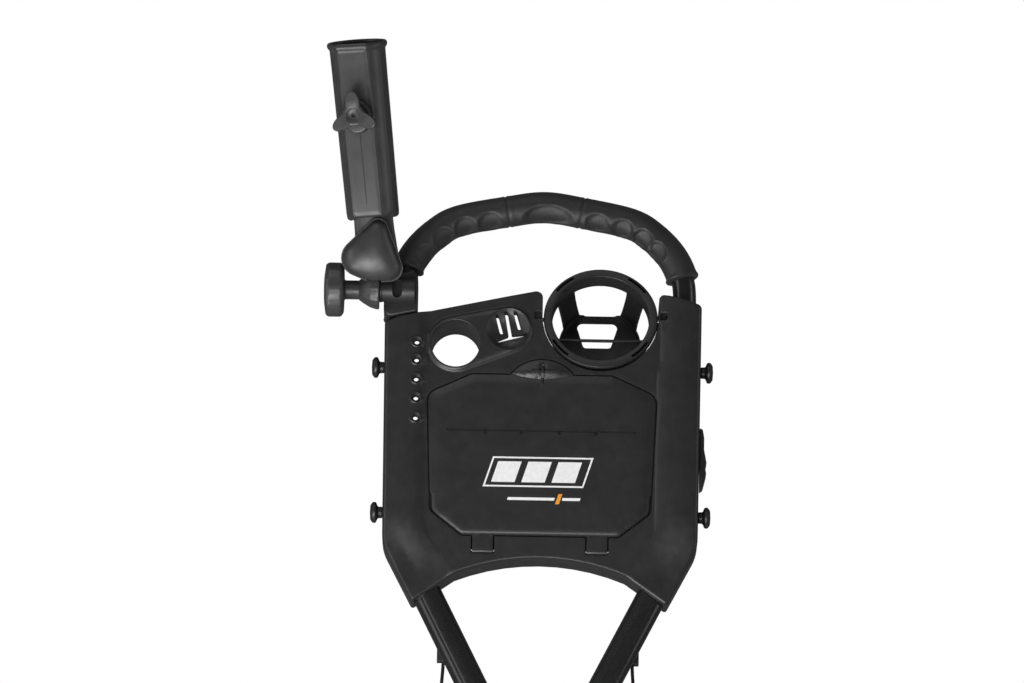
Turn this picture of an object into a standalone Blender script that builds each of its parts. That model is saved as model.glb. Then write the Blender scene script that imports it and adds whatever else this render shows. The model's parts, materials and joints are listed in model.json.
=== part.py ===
"""Handle and console head of a three-wheel golf push cart.

World: metres, +Z up, -Y towards the golfer, +X to the golfer's right.
The origin is the middle of the flat foot of the frame clevis.
Lengths below are in millimetres. Parts are drawn about the console datum, the middle of
the console's flat front face, and an empty carries that datum to its place in the world.
"""

import math

import bmesh
import bpy
from mathutils import Matrix, Vector

MM = 0.001
GAP = 0.3                      # kept between pieces that touch

# Console shells
FOOT_TO_DATUM = 415.0          # foot face to the console datum
SHELL_DEPTH = 29.0
SPLIT = 15.0                   # where the two shells meet
WALL = 3.2
HALF_TOP = 142.8
HALF_BOTTOM = 140.8
CLIP_X = 142.1
POD_INNER = 102.0              # inner edge of the raised covers over the tubes
POD_RISE = 1.6
TIP = (113.2, -160.4)
SIDE_CORNER = -107.3            # where the sides turn in towards the tips
ARC_END = (76.0, -134.0)
ARC_RADIUS = 200.0

# Frame tubes
TUBE_Y = 15.0
TUBE_X = 127.6
TUBE_RADIUS = 10.5
TUBE_WALL = 1.6
GRIP_RADIUS = 14.2
TUBE_FOOT = -80.0              # the loop ends inside the console
PATH_STEPS = 4                 # points drawn for each stretch of the loop
LOWER_HALF_WIDTH = 13.4
LOWER_HALF_DEPTH = 10.8
LOWER_TOP = (125.2, -99.7)
LOWER_TOP_X = 120.0            # where the lower tubes begin
LOWER_END_X = 22.0
LOWER_SLOPE = 1.995            # drop for each unit inwards

# Cup holder
CUP_X = 51.8
CUP_Y = 12.9                   # pivot line
CUP_Z = 107.3
CUP_PIN = 2.0
CUP_LIP = 5.0                  # the lip stands this far in front of the pivot
CUP_TILT = 13.6
CUP_OUTER = 51.5
CUP_INNER = 43.7
CUP_CLEAR = 52.4               # half width of the console's cut-out
REAR_CLEAR = 51.2               # closer behind the ring
CUP_SINK = 50.4                # and how far it dips below the pivot
CUP_BAND = 17.5
CUP_DEPTH = 54.0
STRAP_ANGLES = (45.0, 135.0, 225.0, 315.0)
STRAP_SPAN = 27.0

# Ball hole, dish and tee holes
BALL = (-78.6, 79.4)
BALL_RADIUS = 21.8
BALL_SLEEVE = 24.6
BALL_BACK = 43.0
DISH = (-31.2, 93.5)
DISH_RADIUS = 20.5
DISH_DEPTH = 7.0
ISLAND_RISE = 1.6
TEE_X = -113.4
TEE_Z = (79.8, 63.0, 45.1, 27.3, 8.8)
TEE_RADIUS = 3.0

# Lid
LID_GAP = 0.8
LID_FRONT = -2.2
LID_BACK = 3.0
LID_AXIS = (3.4, -112.0)       # y, z
LID_PIN = 1.5
LID_TOP = 51.5
TAB_HALF = 28.5                   # the finger tab on its upper edge
TAB_RISE = 14.0
HINGE_X = 51.0
TRAY_BACK = 25.4

# screws that hold the shells together
SCREW_SPOTS = ((-98.0, 102.5), (105.0, 40.0), (-108.0, -60.0), (108.0, -60.0),
               (-30.0, -108.0), (30.0, -108.0))
SCREW_SHANK = 1.6
SCREW_HEAD = 3.4

# Umbrella holder
SWIVEL_X = -157.0
SWIVEL_Y = -10.0
SWIVEL_Z = 125.3
LEAN = 21.0                    # the holder leans towards the golfer
TILT = 6.3                     # and to the left
TILT_X = 6.0                   # tilt axis, from the swivel point
TILT_UP = 33.5
CAP_FACE = 6.4                 # the rear cap's flat, behind the tilt axis' middle
CAP_FRONT = 9.2                # the front cap's flat
SHAFT = 3.0
LUG_RADIUS = 19.2
FLAT_STEP = 3.6                  # the tube's flat front is this far inside its round
TUBE_SKIN = 2.4
TUBE_TWIST = 12.0                # the flat is turned a little to the left
FRONT_STEP = 2.2             # clears the front cap
RIM_DIP = 0.05                   # and lower in front
RIM_SLANT = 0.035                 # the rim is lower on the right
THUMB_UP = 127.0
THUMB_HUB = 10.5
THUMB_REACH = 22.5

# Fold joint
FOLD_Z = -372.0
FOLD_PIN = 5.0
EAR = 9.0

BLACK = (0.020, 0.020, 0.021)
SOFT_BLACK = (0.016, 0.016, 0.017)
GLOSS_BLACK = (0.010, 0.010, 0.011)
SATIN_BLACK = (0.030, 0.030, 0.031)
STEEL = (0.45, 0.45, 0.46)


# ---------------------------------------------------------------- outlines

def arc(centre, radius, start, end, steps):
    """Points on an arc, angles in degrees, both ends included."""
    angles = [math.radians(start + (end - start) * i / steps) for i in range(steps + 1)]
    return [(centre[0] + radius * math.cos(a), centre[1] + radius * math.sin(a)) for a in angles]


def rounded(corners, steps=4):
    """Round each corner (x, z, radius) of a closed outline."""
    points = []
    for i, (x, z, radius) in enumerate(corners):
        here = Vector((x, z))
        if radius <= 0.0:
            points.append((x, z))
            continue
        before = (Vector(corners[i - 1][:2]) - here).normalized()
        after = (Vector(corners[(i + 1) % len(corners)][:2]) - here).normalized()
        half = before.angle(after) / 2.0
        middle = (before + after).normalized()
        centre = here + middle * (radius / math.sin(half))
        first = here + before * (radius / math.tan(half)) - centre
        last = here + after * (radius / math.tan(half)) - centre
        turn = math.atan2(first.x * last.y - first.y * last.x, first.dot(last))
        for step in range(steps + 1):
            angle = turn * step / steps
            points.append((centre.x + first.x * math.cos(angle) - first.y * math.sin(angle),
                           centre.y + first.x * math.sin(angle) + first.y * math.cos(angle)))
    return points


def offset(outline, distance):
    """Move a counter-clockwise outline outwards by distance, inwards when negative."""
    moved = []
    for i, point in enumerate(outline):
        here = Vector(point)
        before = (here - Vector(outline[i - 1])).normalized()
        after = (Vector(outline[(i + 1) % len(outline)]) - here).normalized()
        normal = Vector((before.y + after.y, -before.x - after.x)).normalized()
        stretch = 1.0 / max(0.4, normal.dot(Vector((before.y, -before.x))))
        moved.append(tuple(here + normal * distance * stretch))
    return moved


def edge_distance(point, start, end):
    """How far a point lies from the straight line between two others."""
    along = Vector(end) - Vector(start)
    away = Vector(point) - Vector(start)
    share = max(0.0, min(1.0, away.dot(along) / max(along.length_squared, 1e-9)))
    return (away - along * share).length


def inset(outline, distance):
    """Shrink an outline, dropping the points that a tight corner folds over."""
    kept = []
    for point in offset(outline, -distance):
        nearest = min(edge_distance(point, outline[i - 1], outline[i]) for i in range(len(outline)))
        apart = not kept or (Vector(point) - Vector(kept[-1])).length > 0.2
        if nearest > distance - 0.05 and apart:
            kept.append(point)
    return kept


def mirrored(outline):
    return [(-x, z) for x, z in reversed(outline)]


def console_outline(clear=CUP_CLEAR):
    """The console seen from the front, counter-clockwise from the top left corner."""
    spread = math.degrees(math.asin(ARC_END[0] / ARC_RADIUS))
    middle = (0.0, ARC_END[1] - ARC_RADIUS * math.cos(math.radians(spread)))
    bottom = arc(middle, ARC_RADIUS, 90.0 + spread, 90.0 - spread, 10)
    left = rounded([(-30.0, 125.7, 0), (-HALF_TOP, 101.0, 5), (-HALF_BOTTOM, SIDE_CORNER, 40),
                    (-TIP[0], TIP[1], 2.5), (-ARC_END[0], ARC_END[1], 0)], 5)
    right = rounded([(ARC_END[0], ARC_END[1], 0), (TIP[0], TIP[1], 2.5),
                     (HALF_BOTTOM, SIDE_CORNER, 40), (HALF_TOP, 120.0, 5),
                     (CUP_X + CUP_CLEAR, 129.5, 4), (CUP_X + CUP_CLEAR, CUP_Z, 0)], 5)
    cup = [(CUP_X + clear * x, CUP_Z + CUP_SINK * z) for x, z in arc((0.0, 0.0), 1.0, 0.0, -180.0, 18)]
    top = rounded([(CUP_X - CUP_CLEAR, CUP_Z, 0), (CUP_X - CUP_CLEAR, 131.8, 6),
                   (-30.0, 125.7, 0)], 4)
    return left[1:-1] + bottom[:-1] + right[:-1] + cup[:-1] + top[:-1] + [(-30.0, 125.7)]


def lid_outline(tab=True):
    """The lid seen from the front. A finger tab bulges from its upper edge."""
    right = rounded([(0.0, -98.5, 0), (70.0, -98.5, 6), (98.5, -76.0, 9), (103.0, 33.0, 12),
                     (63.0, LID_TOP, 6), (0.0, LID_TOP, 0)], 4)[:-1]
    left = mirrored(right)[:-1]
    if not tab:
        return right + [(0.0, LID_TOP)] + left
    radius = (TAB_HALF ** 2 + TAB_RISE ** 2) / (2.0 * TAB_RISE)
    low = math.degrees(math.asin((radius - TAB_RISE) / radius))
    middle = (0.0, LID_TOP + TAB_RISE - radius)
    return right + arc(middle, radius, low, 180.0 - low, 10) + left


def pod_outline(side):
    """The cover over one tube, a little inside the shell's edge."""
    low = [(TIP[0] - 1.4, TIP[1] + 2.6, 2), (HALF_BOTTOM - 1.2, SIDE_CORNER, 40)]
    if side > 0:
        high = [(HALF_TOP - 1.2, 118.0, 5), (CUP_X + CUP_CLEAR + 1.6, 126.5, 3),
                (CUP_X + CUP_CLEAR + 1.6, 60.0, 5), (POD_INNER, 50.0, 5)]
    else:
        high = [(HALF_TOP - 1.2, 100.5, 5), (POD_INNER, 108.6, 3)]
    outline = rounded([(ARC_END[0] + 3.0, ARC_END[1] + 1.2, 2)] + low + high
                      + [(POD_INNER - 1.0, -95.0, 20)], 4)
    return outline if side > 0 else mirrored(outline)


def two_circle_hull(first, radius_a, second, radius_b, steps):
    """The belt around two circles, counter-clockwise."""
    away = Vector(second) - Vector(first)
    heading = math.degrees(math.atan2(away.y, away.x))
    spread = math.degrees(math.acos((radius_a - radius_b) / away.length))
    return (arc(second, radius_b, heading - spread, heading + spread, steps)
            + arc(first, radius_a, heading + spread, heading + 360.0 - spread, steps))


def capsule(start, end, width):
    heading = math.degrees(math.atan2(end[1] - start[1], end[0] - start[0]))
    return (arc(end, width / 2.0, heading - 90.0, heading + 90.0, 4)
            + arc(start, width / 2.0, heading + 90.0, heading + 270.0, 4))


def circle(centre, radius, steps):
    return arc(centre, radius, 0.0, 360.0 - 360.0 / steps, steps - 1)


# ---------------------------------------------------------------- solids

def prism(outline, front, back, chamfer=0.0):
    """An outline in the X-Z plane, extruded along Y, with its front edge cut back."""
    bm = bmesh.new()
    rings = []
    if chamfer:
        rings.append((front, offset(outline, -chamfer)))
        rings.append((front + chamfer, outline))
    else:
        rings.append((front, outline))
    rings.append((back, outline))
    loops = [[bm.verts.new((x, y, z)) for x, z in ring] for y, ring in rings]
    count = len(outline)
    for near, far in zip(loops, loops[1:]):
        for i in range(count):
            j = (i + 1) % count
            bm.faces.new((near[i], near[j], far[j], far[i]))
    bm.faces.new(loops[0])
    bm.faces.new(loops[-1])
    bmesh.ops.recalc_face_normals(bm, faces=bm.faces)
    return bm


def turned(profile, steps, hollow=False):
    """A profile of (radius, height) turned about Z. A hollow one closes on itself."""
    bm = bmesh.new()
    loops = []
    for radius, height in profile:
        if radius < 1e-6:
            loops.append([bm.verts.new((0.0, 0.0, height))])
        else:
            ring = circle((0.0, 0.0), radius, steps)
            loops.append([bm.verts.new((x, y, height)) for x, y in ring])
    pairs = list(zip(loops, loops[1:]))
    if hollow:
        pairs.append((loops[-1], loops[0]))
    for low, high in pairs:
        for i in range(steps):
            j = (i + 1) % steps
            corners = [low[i % len(low)], low[j % len(low)], high[j % len(high)], high[i % len(high)]]
            bm.faces.new(list(dict.fromkeys(corners)))
    for loop in (loops[0], loops[-1]):
        if not hollow and len(loop) > 1:
            bm.faces.new(loop)
    bmesh.ops.recalc_face_normals(bm, faces=bm.faces)
    return bm


def block(low, high):
    outline = [(low[0], low[2]), (high[0], low[2]), (high[0], high[2]), (low[0], high[2])]
    return prism(outline, low[1], high[1])


def placed(bm, location=(0.0, 0.0, 0.0), turn=0.0, axis="Z"):
    bmesh.ops.transform(bm, matrix=Matrix.Translation(location)
                        @ Matrix.Rotation(math.radians(turn), 4, axis), verts=bm.verts)
    return bm


def rod(start, end, radius, steps=16):
    """A round bar between two points."""
    line = Vector(end) - Vector(start)
    bm = turned([(radius, 0.0), (radius, line.length)], steps)
    facing = Vector((0.0, 0.0, 1.0)).rotation_difference(line.normalized()).to_matrix().to_4x4()
    bmesh.ops.transform(bm, matrix=Matrix.Translation(start) @ facing, verts=bm.verts)
    return bm


def smooth_path(points, steps):
    """A Catmull-Rom curve through the points."""
    route = [Vector(p) for p in points]
    ends = [route[0] * 2 - route[1]] + route + [route[-1] * 2 - route[-2]]
    path = []
    for a, b, c, d in zip(ends, ends[1:], ends[2:], ends[3:]):
        for step in range(steps):
            t = step / steps
            path.append(0.5 * ((2 * b) + (c - a) * t + (2 * a - 5 * b + 4 * c - d) * t * t
                               + (3 * b - 3 * c + d - a) * t * t * t))
    path.append(route[-1])
    return path


def swept(path, across, deep, bore, sides):
    """A hollow tube along a path in the X-Z plane, oval when across and deep differ."""
    bm = bmesh.new()
    skins = []
    for shrink in (0.0, bore):
        rings = []
        for i, point in enumerate(path):
            ahead = path[min(i + 1, len(path) - 1)] - path[max(i - 1, 0)]
            ahead.normalize()
            side = Vector((ahead.z, 0.0, -ahead.x))
            ring = []
            for u, v in circle((0.0, 0.0), 1.0, sides):
                ring.append(bm.verts.new(point + side * u * (across - shrink)
                                         + Vector((0.0, 1.0, 0.0)) * v * (deep - shrink)))
            rings.append(ring)
        skins.append(rings)
        if not bore:
            break
    for rings in skins:
        for near, far in zip(rings, rings[1:]):
            for i in range(sides):
                j = (i + 1) % sides
                bm.faces.new((near[i], near[j], far[j], far[i]))
    for end in (0, -1):
        if bore:
            for i in range(sides):
                j = (i + 1) % sides
                bm.faces.new((skins[0][end][i], skins[0][end][j], skins[1][end][j], skins[1][end][i]))
        else:
            bm.faces.new(skins[0][end])
    bmesh.ops.recalc_face_normals(bm, faces=bm.faces)
    return bm


def temporary(bm):
    mesh = bpy.data.meshes.new("temporary")
    bm.to_mesh(mesh)
    bm.free()
    body = bpy.data.objects.new("temporary", mesh)
    bpy.context.scene.collection.objects.link(body)
    return body


def carve(base, add=(), cut=()):
    """Join the add solids to base, then take the cut solids away."""
    body = temporary(base)
    tools = []
    for operation, solids in (("UNION", add), ("DIFFERENCE", cut)):
        for solid in solids:
            tool = temporary(solid)
            tools.append(tool)
            step = body.modifiers.new("step", "BOOLEAN")
            step.operation = operation
            step.object = tool
    shown = body.evaluated_get(bpy.context.evaluated_depsgraph_get())
    mesh = bpy.data.meshes.new_from_object(shown)
    for spent in tools + [body]:
        bpy.data.objects.remove(spent)
    bm = bmesh.new()
    bm.from_mesh(mesh)
    bmesh.ops.remove_doubles(bm, verts=bm.verts, dist=0.002)
    bmesh.ops.dissolve_degenerate(bm, edges=bm.edges, dist=0.002)
    return bm


# ---------------------------------------------------------------- objects

FINISHES = {
    "moulded": (BLACK, 0.55, 0.0),
    "grip": (SOFT_BLACK, 0.70, 0.0),
    "paint": (GLOSS_BLACK, 0.22, 0.0),
    "satin": (SATIN_BLACK, 0.42, 0.0),
    "steel": (STEEL, 0.35, 1.0),
}


def finish(name, kind):
    colour, roughness, metallic = FINISHES[kind]
    material = bpy.data.materials.new(name)
    material.use_nodes = True
    shader = material.node_tree.nodes["Principled BSDF"]
    shader.inputs["Base Color"].default_value = (*colour, 1.0)
    shader.inputs["Roughness"].default_value = roughness
    shader.inputs["Metallic"].default_value = metallic
    return material


def add_part(name, bm, kind, parent, location=(0.0, 0.0, 0.0), round_piece=True):
    bmesh.ops.scale(bm, vec=(MM, MM, MM), verts=bm.verts)
    mesh = bpy.data.meshes.new(name)
    bm.to_mesh(mesh)
    bm.free()
    if round_piece:
        mesh.shade_smooth()
        mesh.set_sharp_from_angle(angle=math.radians(35.0))
    part = bpy.data.objects.new(name, mesh)
    part.data.materials.append(finish(name, kind))
    part.parent = parent
    part.location = Vector(location) * MM
    bpy.context.scene.collection.objects.link(part)
    return part


def add_empty(name, location, parent=None, turn=(0.0, 0.0, 0.0)):
    empty = bpy.data.objects.new(name, None)
    empty.location = Vector(location) * MM
    empty.rotation_euler = [math.radians(angle) for angle in turn]
    empty.parent = parent
    bpy.context.scene.collection.objects.link(empty)
    return empty


# ---------------------------------------------------------------- frame

def handle_path(steps):
    half = [(0.0, 214.6), (34.0, 209.8), (77.0, 200.6), (97.8, 188.4), (115.6, 169.4),
            (125.6, 147.0), (TUBE_X, 122.0), (TUBE_X, 95.0)]
    points = [(-x, TUBE_Y, z) for x, z in reversed(half[1:])]
    points += [(x, TUBE_Y, z) for x, z in half]
    return smooth_path(points, steps)


def tube_run(side):
    """One leg of the loop, from inside the console to the bend at the grip."""
    loop = handle_path(PATH_STEPS)
    leg = [p for p in loop if p.x * side > 112.0]
    if side > 0:
        leg.reverse()
    return [Vector((leg[0].x, TUBE_Y, TUBE_FOOT))] + leg


def lower_path(side, start_x=LOWER_TOP_X, end_x=LOWER_END_X):
    ends = []
    for x in (start_x, end_x):
        ends.append(Vector((side * x, TUBE_Y, LOWER_TOP[1] - (LOWER_TOP[0] - x) * LOWER_SLOPE)))
    return ends


def build_tubes(datum):
    loop = handle_path(PATH_STEPS)
    foot = [Vector((loop[0].x, TUBE_Y, TUBE_FOOT))]
    other = [Vector((loop[-1].x, TUBE_Y, TUBE_FOOT))]
    add_part("handle_tube", swept(foot + loop + other, TUBE_RADIUS, TUBE_RADIUS, TUBE_WALL, 10),
             "paint", datum)
    for side, label in ((-1, "left"), (1, "right")):
        tube = swept(lower_path(side), LOWER_HALF_WIDTH, LOWER_HALF_DEPTH, TUBE_WALL, 20)
        add_part("lower_tube_" + label, tube, "paint", datum)


def build_grips(datum):
    """Three soft sleeves over the loop, split where the real ones meet."""
    loop = handle_path(PATH_STEPS)
    spans = {"grip_left": (2 * PATH_STEPS + 1, 6 * PATH_STEPS),
             "grip_centre": (6 * PATH_STEPS, 8 * PATH_STEPS),
             "grip_right": (8 * PATH_STEPS, 12 * PATH_STEPS)}
    for name, (first, last) in spans.items():
        path = loop[first:last + 1]
        path[0] = path[0] + (path[1] - path[0]).normalized() * GAP
        path[-1] = path[-1] + (path[-2] - path[-1]).normalized() * GAP
        sleeve = swept(path, GRIP_RADIUS, GRIP_RADIUS, GRIP_RADIUS - TUBE_RADIUS - 0.5, 14)
        add_part(name, sleeve, "grip", datum)


# ---------------------------------------------------------------- console

def tube_passages():
    """Room for the tubes where they leave the shells."""
    passages = []
    for side in (-1, 1):
        passages.append(rod((side * TUBE_X, TUBE_Y, TUBE_FOOT - 1.0), (side * TUBE_X, TUBE_Y, 90.0),
                            TUBE_RADIUS + 0.7, 16))
        passages.append(rod((side * TUBE_X, TUBE_Y, 89.0), (side * TUBE_X, TUBE_Y, 150.0),
                            TUBE_RADIUS + 1.3, 16))
        passages.append(swept(lower_path(side, 122.0, 60.0), LOWER_HALF_WIDTH + 0.6,
                              LOWER_HALF_DEPTH + 0.6, 0.0, 20))
    return passages


def tee_holes(front, back):
    return [prism(circle((TEE_X, z), TEE_RADIUS, 8), front, back) for z in TEE_Z]


def dish_slots():
    lines = [((-41.4, 105.9), (-37.5, 91.8)), ((-33.3, 108.9), (-28.5, 87.0)),
             ((-25.2, 109.0), (-21.4, 95.9)), ((-40.1, 83.3), (-15.9, 89.4))]
    return [prism(capsule(a, b, 3.0), -5.0, 40.0) for a, b in lines]


def cup_bearings():
    return [rod((CUP_X + side * (CUP_CLEAR - 2.0), CUP_Y, CUP_Z),
                (CUP_X + side * (CUP_CLEAR + 6.0), CUP_Y, CUP_Z), CUP_PIN + GAP, 12)
            for side in (-1, 1)]


def lid_pockets(front, back):
    return [block((side * HINGE_X - 10.3, front, -119.0), (side * HINGE_X + 10.3, back, -97.0))
            for side in (-1, 1)]


def build_console_front(datum):
    outline = console_outline()
    shell = prism(outline, 0.0, SPLIT - GAP / 2.0, 2.4)
    island = two_circle_hull(BALL, 25.6, DISH, 22.8, 10)
    add = [prism(pod_outline(side), -POD_RISE, 2.8, 1.4) for side in (-1, 1)]
    pocket = prism(inset(outline, WALL), WALL, SPLIT + 5.0)
    hollow = carve(shell, add, [pocket])
    ball_sleeve = prism(circle(BALL, BALL_SLEEVE, 24), 1.0, BALL_BACK)
    puck = prism(circle(DISH, DISH_RADIUS + 2.2, 20), 1.0, 10.6)
    seats = [prism(circle((TEE_X, z), 5.4, 10), -POD_RISE - 0.9, 2.8) for z in TEE_Z]
    posts = [prism(circle(spot, 4.2, 8), 1.0, SPLIT - GAP / 2.0) for spot in SCREW_SPOTS]
    axle_blocks = [block((side * HINGE_X - 14.0, 1.0, -121.0), (side * HINGE_X + 14.0, 11.0, -99.9))
                   for side in (-1, 1)]
    radius = (DISH_RADIUS ** 2 + DISH_DEPTH ** 2) / (2.0 * DISH_DEPTH)
    ball = turned([(radius * math.sin(math.pi * i / 12), -radius * math.cos(math.pi * i / 12))
                   for i in range(13)], 20)
    placed(ball, (DISH[0], -ISLAND_RISE - radius + DISH_DEPTH, DISH[1]), 90.0, "X")
    cuts = [prism(circle(BALL, BALL_RADIUS, 24), -5.0, 60.0), ball,
            prism(offset(lid_outline(), LID_GAP), -5.0, WALL + 1.0),
            block((CUP_X - CUP_CLEAR - 6.0, -3.0, CUP_Z - 2.4),
                  (CUP_X - CUP_CLEAR + 2.0, CUP_Y, CUP_Z + 4.4)),
            block((CUP_X + CUP_CLEAR - 2.0, -3.0, CUP_Z - 2.4),
                  (CUP_X + CUP_CLEAR + 6.0, CUP_Y, CUP_Z + 4.4))]
    cuts += dish_slots() + tee_holes(-5.0, 20.0) + lid_pockets(-3.0, 9.4) + tube_passages()
    cuts += cup_bearings()
    cuts += [rod((side * HINGE_X - 12.9, LID_AXIS[0], LID_AXIS[1]),
                 (side * HINGE_X + 12.9, LID_AXIS[0], LID_AXIS[1]), LID_PIN + GAP, 12)
             for side in (-1, 1)]
    cuts += [rod((x, SPLIT + 1.0, z), (x, 6.0, z), SCREW_SHANK + GAP, 8) for x, z in SCREW_SPOTS]
    add = [prism(island, -ISLAND_RISE, 2.8, 1.5), ball_sleeve, puck] + seats + posts + axle_blocks
    front = carve(hollow, add, cuts)
    add_part("console_front", front, "moulded", datum)


def build_console_rear(datum):
    outline = console_outline(REAR_CLEAR)
    shell = prism(outline, SPLIT + GAP / 2.0, SHELL_DEPTH)
    pocket = prism(inset(outline, WALL), SPLIT - 5.0, SHELL_DEPTH - WALL)
    posts = [prism(circle(spot, 4.2, 8), SPLIT + GAP / 2.0, SHELL_DEPTH - 1.0)
             for spot in SCREW_SPOTS]
    cuts = [prism(circle(BALL, BALL_SLEEVE + 0.5, 24), 0.0, 60.0),
            prism(circle((DISH[0], DISH[1] + 3.0), 24.0, 24), 0.0, 60.0),
            prism(capsule((TEE_X, 14.0), (TEE_X, 92.0), 8.0), 0.0, 60.0)]
    cuts += tube_passages() + cup_bearings()
    cuts += [rod((x, SPLIT - 1.0, z), (x, SHELL_DEPTH + 1.0, z), SCREW_SHANK + GAP, 8)
             for x, z in SCREW_SPOTS]
    cuts += [rod((x, SHELL_DEPTH - 2.4, z), (x, SHELL_DEPTH + 1.0, z), SCREW_HEAD + GAP, 10)
             for x, z in SCREW_SPOTS]
    rear = carve(carve(shell, (), [pocket]), posts, cuts)
    add_part("console_rear", rear, "moulded", datum)
    for index, (x, z) in enumerate(SCREW_SPOTS):
        profile = [(0.0, 0.0), (SCREW_SHANK, 0.0), (SCREW_SHANK, 19.0), (SCREW_HEAD, 19.0),
                   (SCREW_HEAD, 21.0), (0.0, 21.0)]
        screw = placed(turned(profile, 10), (0.0, 0.0, 0.0), -90.0, "X")
        add_part(f"console_screw_{index + 1}", screw, "steel", datum,
                 (x, SHELL_DEPTH - 21.2, z))


def build_tray(datum):
    """The tub behind the lid: its flange is the lid's stop."""
    rim = prism(offset(lid_outline(), 2.6), WALL + GAP, WALL + GAP + 2.0)
    tub = prism(inset(lid_outline(False), 5.0), WALL + GAP + 0.5, TRAY_BACK)
    cuts = [prism(inset(lid_outline(False), 7.0), 0.0, TRAY_BACK - 2.0)]
    cuts += [block((side * HINGE_X - 15.0, 0.0, -125.0), (side * HINGE_X + 15.0, 12.0, -97.4))
             for side in (-1, 1)]
    cuts += [rod((x, 0.0, z), (x, 40.0, z), 4.6, 12) for x, z in SCREW_SPOTS]
    cuts.append(prism(circle(BALL, BALL_SLEEVE + 0.5, 24), 0.0, 40.0))
    cuts.append(prism(circle((CUP_X, CUP_Z), CUP_CLEAR + WALL + 0.5, 40), 0.0, 40.0))
    add_part("storage_tray", carve(rim, [tub], cuts), "moulded", datum)


def build_lid(datum):
    """The lid and its two hinge tabs turn about one line along X."""
    y_axis, z_axis = LID_AXIS
    panel = prism(lid_outline(), LID_FRONT, LID_BACK, 2.0)
    tabs = [block((side * HINGE_X - 9.5, 0.0, -114.5), (side * HINGE_X + 9.5, LID_BACK, -96.0))
            for side in (-1, 1)]
    knuckles = [rod((side * HINGE_X - 9.5, y_axis, z_axis), (side * HINGE_X + 9.5, y_axis, z_axis), 3.4, 14)
                for side in (-1, 1)]
    cuts = [rod((side * HINGE_X - 12.0, y_axis, z_axis), (side * HINGE_X + 12.0, y_axis, z_axis),
                LID_PIN + GAP, 12) for side in (-1, 1)]
    panel = carve(panel, tabs + knuckles, cuts)
    hinge = add_empty("lid_axis", (0.0, y_axis, z_axis), datum)
    add_part("lid_panel", placed(panel, (0.0, -y_axis, -z_axis)), "moulded", hinge)
    for side, label in ((-1, "left"), (1, "right")):
        pin = rod((side * HINGE_X - 12.5, 0.0, 0.0), (side * HINGE_X + 12.5, 0.0, 0.0), LID_PIN, 12)
        add_part("lid_pin_" + label, pin, "steel", datum, (0.0, y_axis, z_axis))


def build_cup_holder(datum):
    """Ring and basket swing on two pins that lie along X."""
    pivot = add_empty("cup_axis", (CUP_X, CUP_Y, CUP_Z), datum, (90.0 - CUP_TILT, 0.0, 0.0))
    profile = [(CUP_INNER, CUP_LIP), (CUP_OUTER, CUP_LIP), (CUP_OUTER, CUP_LIP - 4.0),
               (47.6, CUP_LIP - CUP_BAND), (CUP_INNER + 1.6, CUP_LIP - CUP_BAND)]
    ring = turned(profile, 40, hollow=True)
    slots = []
    for angle in STRAP_ANGLES:
        band = arc((0.0, 0.0), 49.4, angle - 12.5, angle + 12.5, 4)
        band += arc((0.0, 0.0), 47.0, angle + 12.5, angle - 12.5, 4)
        slots.append(placed(prism(band, -CUP_LIP - 6.0, 3.0 - CUP_LIP), (0.0, 0.0, 0.0), -90.0, "X"))
    bar = block((-43.4, -14.6, CUP_LIP - CUP_BAND), (43.4, -12.4, CUP_LIP - CUP_BAND + 2.2))
    sockets = [rod((side * 40.0, 0.0, 0.0), (side * 60.0, 0.0, 0.0), CUP_PIN + GAP, 12)
               for side in (-1, 1)]
    ring = carve(ring, [bar], slots + sockets)
    add_part("cup_ring", ring, "moulded", pivot)

    floor = CUP_LIP - CUP_DEPTH
    base = turned([(0.0, floor), (36.5, floor), (36.5, floor + 3.0), (0.0, floor + 3.0)], 32)
    straps = []
    for angle in STRAP_ANGLES:
        strap = bmesh.new()
        rings = []
        for radius, height in ((45.4, CUP_LIP - CUP_BAND - GAP), (36.4, floor + 0.5)):
            for thick in (0.0, 2.4):
                rings.append([strap.verts.new((x, y, height)) for x, y in
                              arc((0.0, 0.0), radius + thick - 1.2, angle - STRAP_SPAN / 2.0,
                                  angle + STRAP_SPAN / 2.0, 4)])
        inner_top, outer_top, inner_low, outer_low = rings
        for near, far in ((inner_top, outer_top), (outer_top, outer_low), (outer_low, inner_low),
                          (inner_low, inner_top)):
            for i in range(4):
                strap.faces.new((near[i], near[i + 1], far[i + 1], far[i]))
        for end in (0, -1):
            strap.faces.new((inner_top[end], outer_top[end], outer_low[end], inner_low[end]))
        bmesh.ops.recalc_face_normals(strap, faces=strap.faces)
        straps.append(strap)
    window = rounded([(-14.6, -1.8, 3), (9.8, -1.8, 3), (15.8, 19.0, 6), (15.4, 25.4, 5),
                      (-20.2, 25.4, 5), (-20.6, 19.0, 6)], 3)
    hole = placed(prism(window, floor - 5.0, floor + 8.0), (0.0, 0.0, 0.0), 90.0, "X")
    bmesh.ops.scale(hole, vec=(1.0, -1.0, 1.0), verts=hole.verts)
    bmesh.ops.recalc_face_normals(hole, faces=hole.faces)
    far_edge = block((-40.0, 32.0, floor - 4.0), (40.0, 50.0, floor + 8.0))
    add_part("cup_basket", carve(carve(base, (), [far_edge]), straps, [hole]), "moulded", pivot)
    for side, label in ((-1, "left"), (1, "right")):
        pin = rod((side * 44.6, 0.0, 0.0), (side * 57.0, 0.0, 0.0), CUP_PIN, 12)
        add_part("cup_pin_" + label, pin, "steel", pivot)


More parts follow.
